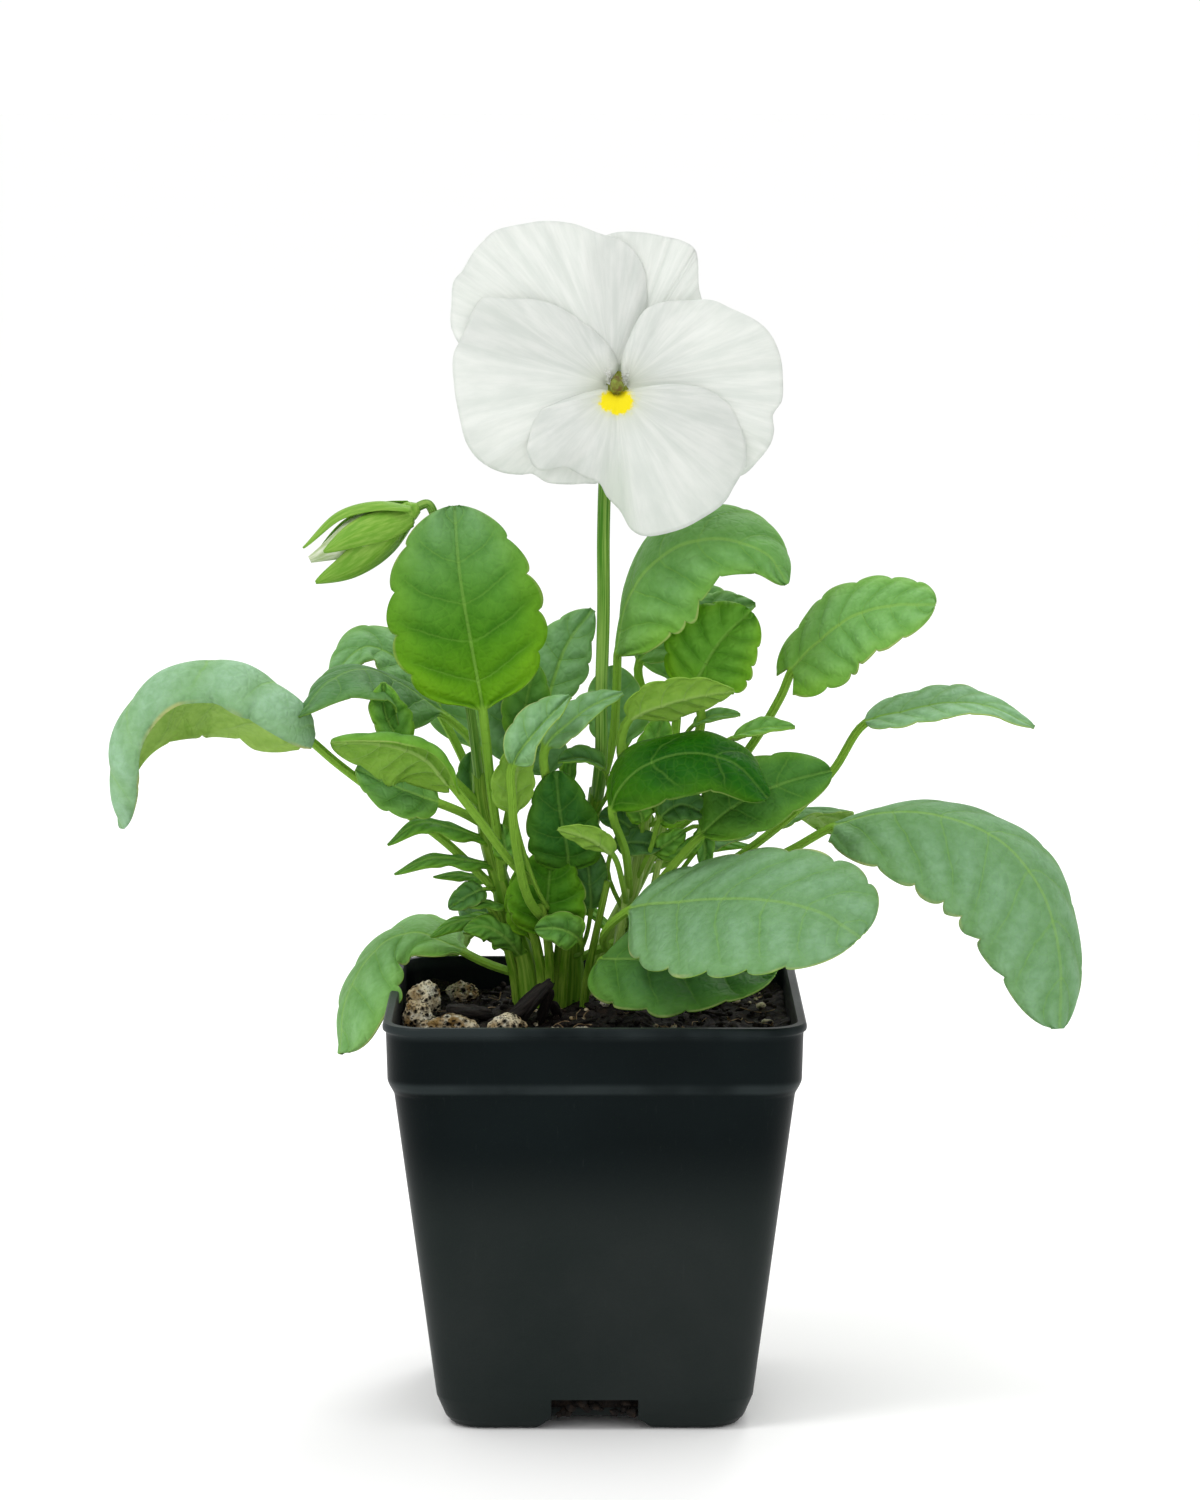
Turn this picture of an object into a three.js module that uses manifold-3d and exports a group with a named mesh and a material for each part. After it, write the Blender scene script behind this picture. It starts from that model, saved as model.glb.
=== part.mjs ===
// Potted pansy: a square nursery pot filled with bark mix, and one plant with a white
// bloom, a nodding bud and about thirty leaves. Millimetres, +Z up. The origin is on
// the surface that the pot stands on, below the middle of the pot. The bloom faces -Y.
import * as THREE from 'three';
import { mergeVertices } from 'three/addons/utils/BufferGeometryUtils.js';
import Module from 'manifold-3d';

const wasm = await Module();
wasm.setup();

// ---------------------------------------------------------------- driving dimensions

const RIM_WIDTH = 96;          // pot, across the lip outside
const POT_HEIGHT = 96;
const LIP_THICKNESS = 1.6;
const COLLAR_HEIGHT = 13;      // collar band under the lip
const COLLAR_WIDTH = 94.5;
const BODY_TOP_WIDTH = 91;     // below the ledge
const BODY_FOOT_WIDTH = 73;    // just above the rounded foot
const WALL = 1.8;
const FOOT_HEIGHT = 2.4;       // the middle of each side is raised by this
const FOOT_REACH = 14.6;       // feet start this far from the middle of a side
const NOTCH_WIDTH = 20;        // drainage notch in the lower edge of each side
const NOTCH_HEIGHT = 5.7;
const NOTCH_REACH = 6;         // how far a notch goes into the floor
const CORNER = 9;              // radius of the pot's upright corners
const LEDGE_RISE = 2;          // height of the sloped ledge below the collar

const SOIL_LEVEL = 89;
const SEAT_GAP = 0.3;          // clearance between pieces that touch
const BLADE_THICKNESS = 0.7;
const PETAL_THICKNESS = 0.8;
const BLOOM_CENTRE = [5, -4, 237];
const BLOOM_TILT = 7;          // degrees that the bloom looks upward

const COLOURS = {
  pot: 0x16181a,
  soil: 0x2a211b,
  pumice: 0xb79a72,
  bark: 0x3a2a20,
  stem: 0x7c9a4e,
  leaf: 0x5c8a4e,
  petal: 0xf2f1ea,
  sepal: 0x7fa255,
  pistil: 0x6d6a2c,
};

// ------------------------------------------------------------------------ small tools

const vec = (p) => new THREE.Vector3(p[0], p[1], p[2]);
const radians = THREE.MathUtils.degToRad;

// A seeded draw, the same on every run (mulberry32).
function seededDraw(seed) {
  let state = seed;
  return () => {
    state = (state + 0x6d2b79f5) | 0;
    let t = Math.imul(state ^ (state >>> 15), 1 | state);
    t = (t + Math.imul(t ^ (t >>> 7), 61 | t)) ^ t;
    return ((t ^ (t >>> 14)) >>> 0) / 4294967296;
  };
}

function solidFromGeometry(geometry) {
  const plain = geometry.clone();
  plain.deleteAttribute('normal');
  plain.deleteAttribute('uv');
  const merged = mergeVertices(plain, 1e-4);
  return new wasm.Manifold(new wasm.Mesh({
    numProp: 3,
    vertProperties: new Float32Array(merged.attributes.position.array),
    triVerts: new Uint32Array(merged.index.array),
  }));
}

function solidFromLists(points, triangles) {
  return new wasm.Manifold(new wasm.Mesh({
    numProp: 3,
    vertProperties: new Float32Array(points.flatMap((p) => [p.x, p.y, p.z])),
    triVerts: new Uint32Array(triangles.flat()),
  }));
}

function geometryFromSolid(solid) {
  const mesh = solid.getMesh();
  const geometry = new THREE.BufferGeometry();
  const places = new Float32Array(mesh.vertProperties);
  geometry.setAttribute('position', new THREE.BufferAttribute(places, 3));
  geometry.setIndex(new THREE.BufferAttribute(new Uint32Array(mesh.triVerts), 1));
  geometry.computeVertexNormals();
  return geometry;
}

function largestPiece(solid) {
  return solid.decompose().reduce((best, piece) => (piece.volume() > best.volume() ? piece : best));
}

// A closed skin over rings that hold the same number of points, capped at both ends.
function loft(rings) {
  const size = rings[0].length;
  const points = rings.flat();
  const triangles = [];
  for (let i = 0; i + 1 < rings.length; i++) {
    for (let j = 0; j < size; j++) {
      const a = i * size + j;
      const b = i * size + ((j + 1) % size);
      triangles.push([a, b, b + size], [a, b + size, a + size]);
    }
  }
  const last = (rings.length - 1) * size;
  for (let j = 1; j + 1 < size; j++) {
    triangles.push([0, j + 1, j], [last, last + j, last + j + 1]);
  }
  return solidFromLists(points, triangles);
}

// A closed sheet: two grids of the same layout, one behind the other, split into
// triangles alike, and joined round their edge. front[i][j] and back[i][j].
function sheet(front, back) {
  const rows = front.length;
  const cols = front[0].length;
  const points = [...front.flat(), ...back.flat()];
  const f = (i, j) => i * cols + j;
  const k = (i, j) => rows * cols + i * cols + j;
  const triangles = [];
  for (let i = 0; i + 1 < rows; i++) {
    for (let j = 0; j + 1 < cols; j++) {
      if (j < (cols - 1) / 2) {
        triangles.push([f(i, j), f(i, j + 1), f(i + 1, j + 1)], [f(i, j), f(i + 1, j + 1), f(i + 1, j)]);
        triangles.push([k(i, j), k(i + 1, j + 1), k(i, j + 1)], [k(i, j), k(i + 1, j), k(i + 1, j + 1)]);
      } else {
        triangles.push([f(i, j), f(i, j + 1), f(i + 1, j)], [f(i, j + 1), f(i + 1, j + 1), f(i + 1, j)]);
        triangles.push([k(i, j), k(i + 1, j), k(i, j + 1)], [k(i, j + 1), k(i + 1, j), k(i + 1, j + 1)]);
      }
    }
    triangles.push([f(i, 0), f(i + 1, 0), k(i + 1, 0)], [f(i, 0), k(i + 1, 0), k(i, 0)]);
    const e = cols - 1;
    triangles.push([f(i, e), k(i + 1, e), f(i + 1, e)], [f(i, e), k(i, e), k(i + 1, e)]);
  }
  for (let j = 0; j + 1 < cols; j++) {
    const e = rows - 1;
    triangles.push([f(0, j), k(0, j + 1), f(0, j + 1)], [f(0, j), k(0, j), k(0, j + 1)]);
    triangles.push([f(e, j), f(e, j + 1), k(e, j + 1)], [f(e, j), k(e, j + 1), k(e, j)]);
  }
  return solidFromLists(points, triangles);
}

// --------------------------------------------------------------------------- the pot

// A ring of a square with round corners, anticlockwise seen from above.
function squareRing(width, corner, z) {
  const steps = 4;
  const reach = width / 2 - corner;
  const ring = [];
  for (let quarter = 0; quarter < 4; quarter++) {
    for (let step = 0; step <= steps; step++) {
      const angle = (quarter + step / steps) * Math.PI / 2;
      const middle = (quarter + 0.5) * Math.PI / 2;
      ring.push(new THREE.Vector3(
        Math.sign(Math.cos(middle)) * reach + corner * Math.cos(angle),
        Math.sign(Math.sin(middle)) * reach + corner * Math.sin(angle),
        z,
      ));
    }
  }
  return ring;
}

const squareLoft = (levels) => loft(levels.map(([width, corner, z]) => squareRing(width, corner, z)));

const LEDGE_Z = POT_HEIGHT - COLLAR_HEIGHT - LIP_THICKNESS;
const LIP_Z = POT_HEIGHT - LIP_THICKNESS;
const FLOOR_TOP = FOOT_HEIGHT + WALL;

// The pot's inner skin, or a smaller one inside it for the mix: width, corner, height.
function cavityLevels(gap) {
  const inset = 2 * (WALL + gap);
  return [
    [BODY_FOOT_WIDTH - inset - 6, CORNER - 4, FLOOR_TOP + gap],
    [BODY_FOOT_WIDTH - inset, CORNER - 2, FLOOR_TOP + gap + 5],
    [BODY_TOP_WIDTH - inset, CORNER - 1.5, LEDGE_Z],
    [COLLAR_WIDTH - inset, CORNER - 1, LEDGE_Z + LEDGE_RISE + 1],
    [COLLAR_WIDTH - inset + 0.5, CORNER - 1, POT_HEIGHT + 1],
  ];
}

function makePot() {
  const outside = squareLoft([
    // the rounded foot
    [BODY_FOOT_WIDTH - 9, CORNER - 2, 0],
    [BODY_FOOT_WIDTH - 4, CORNER - 1, 2],
    [BODY_FOOT_WIDTH, CORNER, 7],
    // the ledge and the collar
    [BODY_TOP_WIDTH, CORNER, LEDGE_Z - LEDGE_RISE],
    [COLLAR_WIDTH - 1.5, CORNER, LEDGE_Z],
    [COLLAR_WIDTH - 0.6, CORNER, LEDGE_Z + 1.2],
    [COLLAR_WIDTH, CORNER, LIP_Z - 0.6],
    // the lip
    [RIM_WIDTH, CORNER + 0.5, LIP_Z],
    [RIM_WIDTH, CORNER + 0.5, POT_HEIGHT - 0.5],
    [RIM_WIDTH - 1, CORNER, POT_HEIGHT],
  ]);
  let pot = outside.subtract(squareLoft(cavityLevels(0)));
  // between the feet the underside is raised, with sloped ends
  const archTop = NOTCH_WIDTH / 2 + 0.4;
  const arch = new THREE.Shape([
    new THREE.Vector2(-FOOT_REACH, -1),
    new THREE.Vector2(FOOT_REACH, -1),
    new THREE.Vector2(archTop, FOOT_HEIGHT),
    new THREE.Vector2(-archTop, FOOT_HEIGHT),
  ]);
  for (const turn of [0, Math.PI / 2]) {
    const channel = new THREE.ExtrudeGeometry(arch, { depth: RIM_WIDTH, bevelEnabled: false });
    channel.rotateX(Math.PI / 2);
    channel.translate(0, RIM_WIDTH / 2, 0);
    channel.rotateZ(turn);
    pot = pot.subtract(solidFromGeometry(channel));
  }
  // a notch in each side opens into the raised part and into the floor's edge
  const notch = new THREE.BoxGeometry(NOTCH_WIDTH, 2 * NOTCH_REACH, NOTCH_HEIGHT);
  notch.translate(0, BODY_FOOT_WIDTH / 2, FOOT_HEIGHT + NOTCH_HEIGHT / 2 - 0.5);
  for (const quarter of [0, 1, 2, 3]) {
    const opening = notch.clone();
    opening.rotateZ(quarter * Math.PI / 2);
    pot = pot.subtract(solidFromGeometry(opening));
  }
  return pot;
}

// ----------------------------------------------------------------- mix, stones, bark

const MOUND_HEIGHT = 2.2;      // how far the mix rises towards the crown
const MOUND_REACH = 30;
const BUMP_HEIGHT = 0.7;

// The surface is a mound, a little higher by the crown, with two crossing waves on it.
function soilHeight(x, y) {
  const mound = MOUND_HEIGHT * Math.exp(-((Math.hypot(x, y) / MOUND_REACH) ** 2));
  const bumps = Math.sin(x * 0.31 + y * 0.17) + Math.sin(y * 0.37 - x * 0.23 + 1.3);
  return SOIL_LEVEL + mound + BUMP_HEIGHT * bumps;
}

function makeSoil() {
  const cells = 10;
  const span = COLLAR_WIDTH + 4;
  const grid = [];
  for (let i = 0; i <= cells; i++) {
    const x = -span / 2 + span * i / cells;
    const row = [];
    for (let j = 0; j <= cells; j++) {
      const y = -span / 2 + span * j / cells;
      row.push(new THREE.Vector3(x, y, soilHeight(x, y)));
    }
    grid.push(row);
  }
  const low = grid.map((row) => row.map((p) => new THREE.Vector3(p.x, p.y, 0)));
  const block = sheet(low, grid);
  return block.intersect(squareLoft(cavityLevels(SEAT_GAP)));
}

const LUMP_LEAST = 0.86;       // a lump's corners lie between these parts of its radius
const LUMP_MOST = 1.14;

// A lumpy pebble: a coarse ball whose corners are pushed in and out.
function lump({ at, size, turn, seed }, clearance = 0) {
  const coarse = new THREE.IcosahedronGeometry(1, 1).deleteAttribute('normal').deleteAttribute('uv');
  const ball = mergeVertices(coarse);
  const draw = seededDraw(seed);
  const place = ball.attributes.position;
  for (let i = 0; i < place.count; i++) {
    const push = THREE.MathUtils.lerp(LUMP_LEAST, LUMP_MOST, draw());
    place.setXYZ(
      i,
      place.getX(i) * (size[0] / 2 * push + clearance),
      place.getY(i) * (size[1] / 2 * push + clearance),
      place.getZ(i) * (size[2] / 2 * push + clearance),
    );
  }
  ball.rotateZ(radians(turn));
  ball.translate(at[0], at[1], at[2]);
  return solidFromGeometry(ball);
}

// A flat splinter of bark, longer than wide, with uneven ends.
function chip({ at, size, tilt, turn }, clearance = 0) {
  const [length, width, thick] = size.map((value) => value / 2 + clearance);
  const outline = [
    [-1, -0.4], [-0.5, -1], [0.4, -0.8], [0.95, -0.9], [1, 0.3], [0.5, 0.9], [-0.3, 1], [-0.9, 0.5],
  ];
  const level = (z, share) => outline.map(
    ([x, y]) => new THREE.Vector3(x * length * share, y * width * share, z),
  );
  const pose = new THREE.Matrix4().makeRotationFromEuler(
    new THREE.Euler(radians(tilt[0]), radians(tilt[1]), radians(turn), 'ZYX'),
  );
  pose.setPosition(at[0], at[1], at[2]);
  const rings = [level(-thick, 0.9), level(thick, 1)];
  rings.flat().forEach((p) => p.applyMatrix4(pose));
  return loft(rings);
}

const STONES = [
  { name: 'pumice_left_rear', at: [-40, 0, 94], size: [8, 8, 8], turn: 20, seed: 11 },
  { name: 'pumice_left', at: [-41, -17, 92.6], size: [7, 6, 8], turn: -10, seed: 12 },
  { name: 'pumice_rear', at: [-31.5, 20, 92], size: [7, 6, 5], turn: 0, seed: 13 },
  { name: 'pumice_front_left', at: [-33, -28, 91.9], size: [13, 7.5, 7.5], turn: 8, seed: 14 },
  { name: 'pumice_front', at: [-20, -30, 93], size: [8.5, 7, 6], turn: 30, seed: 15 },
  { name: 'grit_front', at: [-2.5, -30, 91], size: [6.5, 5, 4], turn: 0, seed: 16 },
  { name: 'grit_right', at: [29, -36, 90.5], size: [5, 4, 4], turn: 40, seed: 17 },
];

const CHIPS = [
  { name: 'bark_leaning', at: [-15, -14, 96], size: [14, 5, 2.2], tilt: [20, -42], turn: -12 },
  { name: 'bark_left', at: [-29, -8, 92.5], size: [12, 6, 2.4], tilt: [12, 10], turn: 35 },
  { name: 'bark_right', at: [20, 24, 91.5], size: [13, 6, 2.4], tilt: [-8, 6], turn: -30 },
];

// ---------------------------------------------------------------------- stems, stalks

const TUBE_SIDES = 7;
const TUBE_STEPS = 12;

// A tube along a smooth route. Its section is round and has the given radii, which
// are spread evenly along it.
function tube({ route, radii }, clearance = 0) {
  const curve = new THREE.CatmullRomCurve3(route.map(vec), false, 'centripetal');
  const rings = [];
  let across = new THREE.Vector3(0, 1, 0);
  for (let i = 0; i <= TUBE_STEPS; i++) {
    const t = i / TUBE_STEPS;
    const centre = curve.getPoint(t);
    const along = curve.getTangent(t);
    across = across.clone().addScaledVector(along, -across.dot(along)).normalize();
    const other = new THREE.Vector3().crossVectors(along, across);
    const place = t * (radii.length - 1);
    const k = Math.min(Math.floor(place), radii.length - 2);
    const radius = THREE.MathUtils.lerp(radii[k], radii[k + 1], place - k) + clearance;
    const ring = [];
    for (let j = 0; j < TUBE_SIDES; j++) {
      const angle = 2 * Math.PI * j / TUBE_SIDES;
      ring.push(centre.clone()
        .addScaledVector(across, radius * Math.cos(angle))
        .addScaledVector(other, radius * Math.sin(angle)));
    }
    rings.push(ring);
  }
  if (clearance > 0) {
    // the cutter also reaches past both ends
    const first = curve.getTangent(0).multiplyScalar(-clearance);
    const last = curve.getTangent(1).multiplyScalar(clearance);
    rings[0].forEach((p) => p.add(first));
    rings[TUBE_STEPS].forEach((p) => p.add(last));
  }
  return loft(rings);
}

const STEMS = {
  left: {
    route: [[-15, 8, 82], [-15.5, 8, 94], [-17, 8, 103], [-19.5, 7, 111], [-21.5, 5, 119],
      [-23.5, 4, 126], [-25, 3, 133], [-26.5, 3, 141], [-27, 3, 147]],
    radii: [2.6, 2.8, 2.6, 2.8, 2.2, 2.3, 1.8, 1.7],
  },
  middle: {
    route: [[-6, 13, 82], [-5, 13, 95], [-5, 12, 106], [-4, 10, 116], [-2.5, 8, 126], [-0.5, 6, 136],
      [0.5, 5, 143]],
    radii: [2.2, 2.3, 2.1, 2.2, 1.8, 1.8],
  },
  right: {
    route: [[4, 8, 82], [5, 8, 96], [6, 7, 105], [7, 6, 113], [9, 4, 120], [11, 3, 131],
      [12, 2, 138], [13, 2, 143]],
    radii: [1.8, 1.8, 1.6, 1.7, 1.5, 1.5],
  },
  back: {
    route: [[-1, 23, 82], [0, 22, 96], [4, 21, 107], [10, 19, 119], [15, 17, 131], [17, 16, 141],
      [18, 15, 149]],
    radii: [2.0, 2.0, 1.8, 1.9, 1.6, 1.6],
  },
};

// Small narrow leaves at the stems' nodes.
const STIPULES = {
  left: [
    { route: [[-24.5, 3, 131], [-32, -3, 134.5], [-40.5, -6, 136.5], [-48, -7, 131.5]], width: 7,
      faces: [[0.3, -0.5, 0.8], [-0.4, -0.6, 0.8]] },
    { route: [[-23.3, 4, 125], [-29.5, -2, 127], [-38, -5, 128], [-46.5, -6, 124.5]], width: 6,
      faces: [[0.3, -0.5, 0.8], [-0.4, -0.6, 0.8]] },
    { route: [[-22, 6, 121], [-27, 8, 121.5], [-32.5, 9, 122], [-38, 9, 121.5]], width: 4,
      faces: [[0, -0.5, 0.8], [-0.2, -0.6, 0.8]] },
    { route: [[-20.5, 7, 115], [-23, 1, 116.5], [-28, -2, 117.5], [-33, -3, 117]], width: 5,
      faces: [[0, -0.5, 0.8], [-0.2, -0.6, 0.8]] },
    { route: [[-19.5, 7, 111], [-27, 7, 112], [-33, 6, 111], [-38.5, 4, 108]], width: 5.5,
      faces: [[0, -0.6, 0.8], [-0.2, -0.7, 0.7]] },
    { route: [[-17, 7, 102], [-20.5, 1, 108], [-25.5, -2, 111.5], [-30.5, -3, 111]], width: 8,
      faces: [[-0.3, -0.9, 0.4], [-0.2, -0.9, 0.4]] },
  ],
  middle: [
    { route: [[-4.5, 12, 110], [-11, 16, 115], [-15, 19, 120], [-17, 21, 126]], width: 4.5,
      faces: [[0.3, -0.9, 0.3], [0.2, -0.9, 0.2]] },
    { route: [[-0.5, 6, 135], [-5, 1, 141], [-6, -1, 148], [-4, -2, 154]], width: 4.5,
      faces: [[0.3, -0.9, 0.3], [0.2, -0.9, 0.2]] },
  ],
  right: [
    { route: [[11.5, 2, 138], [16, -1, 141], [21, -2, 144], [25, -3, 144]], width: 6,
      faces: [[0, -0.7, 0.7], [0, -0.7, 0.7]] },
    { route: [[10.5, 3, 130], [17, -1, 129], [22.5, -3, 131], [26, -4, 135]], width: 4.5,
      faces: [[0, -0.8, 0.5], [0.2, -0.8, 0.4]] },
  ],
  back: [
    { route: [[13, 18, 125], [21, 20, 127], [29, 21, 128], [37, 22, 127]], width: 7,
      faces: [[0, -0.4, 0.9], [0.2, -0.4, 0.9]] },
    { route: [[4, 21, 107], [-3, 27, 113], [-9, 31, 120], [-12, 34, 128]], width: 6,
      faces: [[0.3, -0.6, 0.6], [0.3, -0.6, 0.5]] },
  ],
};

// ----------------------------------------------------------------------------- leaves

// The outline's half-width along the blade is sin(pi * s^skew)^fullness.
const OVATE = { skew: 0.8, fullness: 0.47 };
const ROUND = { skew: 0.85, fullness: 0.42 };
const BROAD = { skew: 1.15, fullness: 0.42 };
const LOBED = { skew: 0.62, fullness: 0.5 };
const LANCE = { skew: 0.8, fullness: 0.62 };

const TOOTH_DEPTH = 0.11;      // part of the half-width
const STALK_STEP = 10;         // length of a stalk between two of its rings
const WIDE_BLADE = 30;         // a blade wider than this has one more row per tooth
const LOBE_FADE = 4;           // how fast the lobes' sweep fades towards the tip

// A leaf is one closed skin: a round stalk that widens into the blade. The route runs
// from inside the stem to the tip, and the blade starts at its point bladeFrom. faces
// are the directions that the upper side looks in at the blade's base, middle and tip.
// fold lifts each half from flat, in degrees, and roll bends it more towards its edge.
// halves widens or narrows each half, and lobe sweeps the base's edges back past the
// stalk by that length.
function leaf({
  route, bladeFrom, width, faces, fold = [8, 8], roll = [-10, -10], halves = [1, 1], lobe = 0,
  teeth = 5, shape = OVATE, stalk = 1.1, cols = 5,
}) {
  const curve = new THREE.CatmullRomCurve3(route.map(vec), false, 'centripetal');
  const start = bladeFrom / (route.length - 1);
  const stalkLength = curve.getPoint(0).distanceTo(curve.getPoint(start));
  const stalkRows = Math.max(2, Math.round(stalkLength / STALK_STEP));
  const front = [];
  const back = [];
  const directions = faces.map((face) => vec(face).normalize());

  const frameAt = (t, s) => {
    const along = curve.getTangent(t);
    const k = s < 0.5 ? 0 : 1;
    const up = directions[k].clone().lerp(directions[k + 1], 2 * s - k);
    up.addScaledVector(along, -up.dot(along)).normalize();
    return { centre: curve.getPoint(t), along, up, side: new THREE.Vector3().crossVectors(along, up) };
  };

  for (let i = 0; i < stalkRows; i++) {
    const { centre, up, side } = frameAt(start * i / stalkRows, 0);
    const upper = [];
    const lower = [];
    for (let j = 0; j < cols; j++) {
      const angle = Math.PI * (1 - (j + 0.5) / cols);
      const x = stalk * Math.cos(angle);
      const z = stalk * Math.sin(angle);
      upper.push(centre.clone().addScaledVector(side, x).addScaledVector(up, z));
      lower.push(centre.clone().addScaledVector(side, x).addScaledVector(up, -z));
    }
    front.push(upper);
    back.push(lower);
  }

  const phases = width > WIDE_BLADE ? [0.06, 0.4, 0.8] : [0.08, 0.6];
  const stations = [0];
  for (let tooth = 0; tooth < teeth; tooth++) {
    phases.forEach((phase, place) => {
      if (tooth + place > 0) stations.push((tooth + phase) / teeth);
    });
  }
  stations.push(1);
  stations.forEach((s, row) => {
    const { centre, along, up, side } = frameAt(start + (1 - start) * s, s);
    const notched = row > 0 && s < 1 && (row % phases.length) === 0;
    const inside = THREE.MathUtils.clamp(s, 0.012, 0.985);
    const profile = Math.sin(Math.PI * inside ** shape.skew) ** shape.fullness;
    const half = Math.max(stalk, width / 2 * profile) * (notched ? 1 - TOOTH_DEPTH : 1);
    const rib = Math.max(0, stalk - BLADE_THICKNESS / 2) * (1 - s) ** 1.5;
    const upper = [];
    const lower = [];
    for (let j = 0; j < cols; j++) {
      const q = 2 * j / (cols - 1) - 1;
      const which = q < 0 ? 0 : 1;
      const turn = radians(roll[which] * Math.abs(q));
      const chord = turn === 0 ? 1 : Math.sin(turn / 2) / (turn / 2);
      const reach = Math.abs(q) * half * halves[which] * chord;
      const bend = radians(fold[which]) + turn / 2;
      const slope = radians(fold[which]) + turn;
      const point = centre.clone()
        .addScaledVector(side, Math.sign(q) * reach * Math.cos(bend))
        .addScaledVector(up, reach * Math.sin(bend))
        .addScaledVector(along, -lobe * q * q * (1 - s) ** LOBE_FADE);
      const normal = up.clone().multiplyScalar(q === 0 ? 1 : Math.cos(slope))
        .addScaledVector(side, -Math.sign(q) * Math.sin(slope));
      upper.push(point.clone().addScaledVector(normal, BLADE_THICKNESS / 2));
      lower.push(point.clone().addScaledVector(normal, -BLADE_THICKNESS / 2 - (q === 0 ? rib : 0)));
    }
    front.push(upper);
    back.push(lower);
  });
  return sheet(front, back);
}

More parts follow.
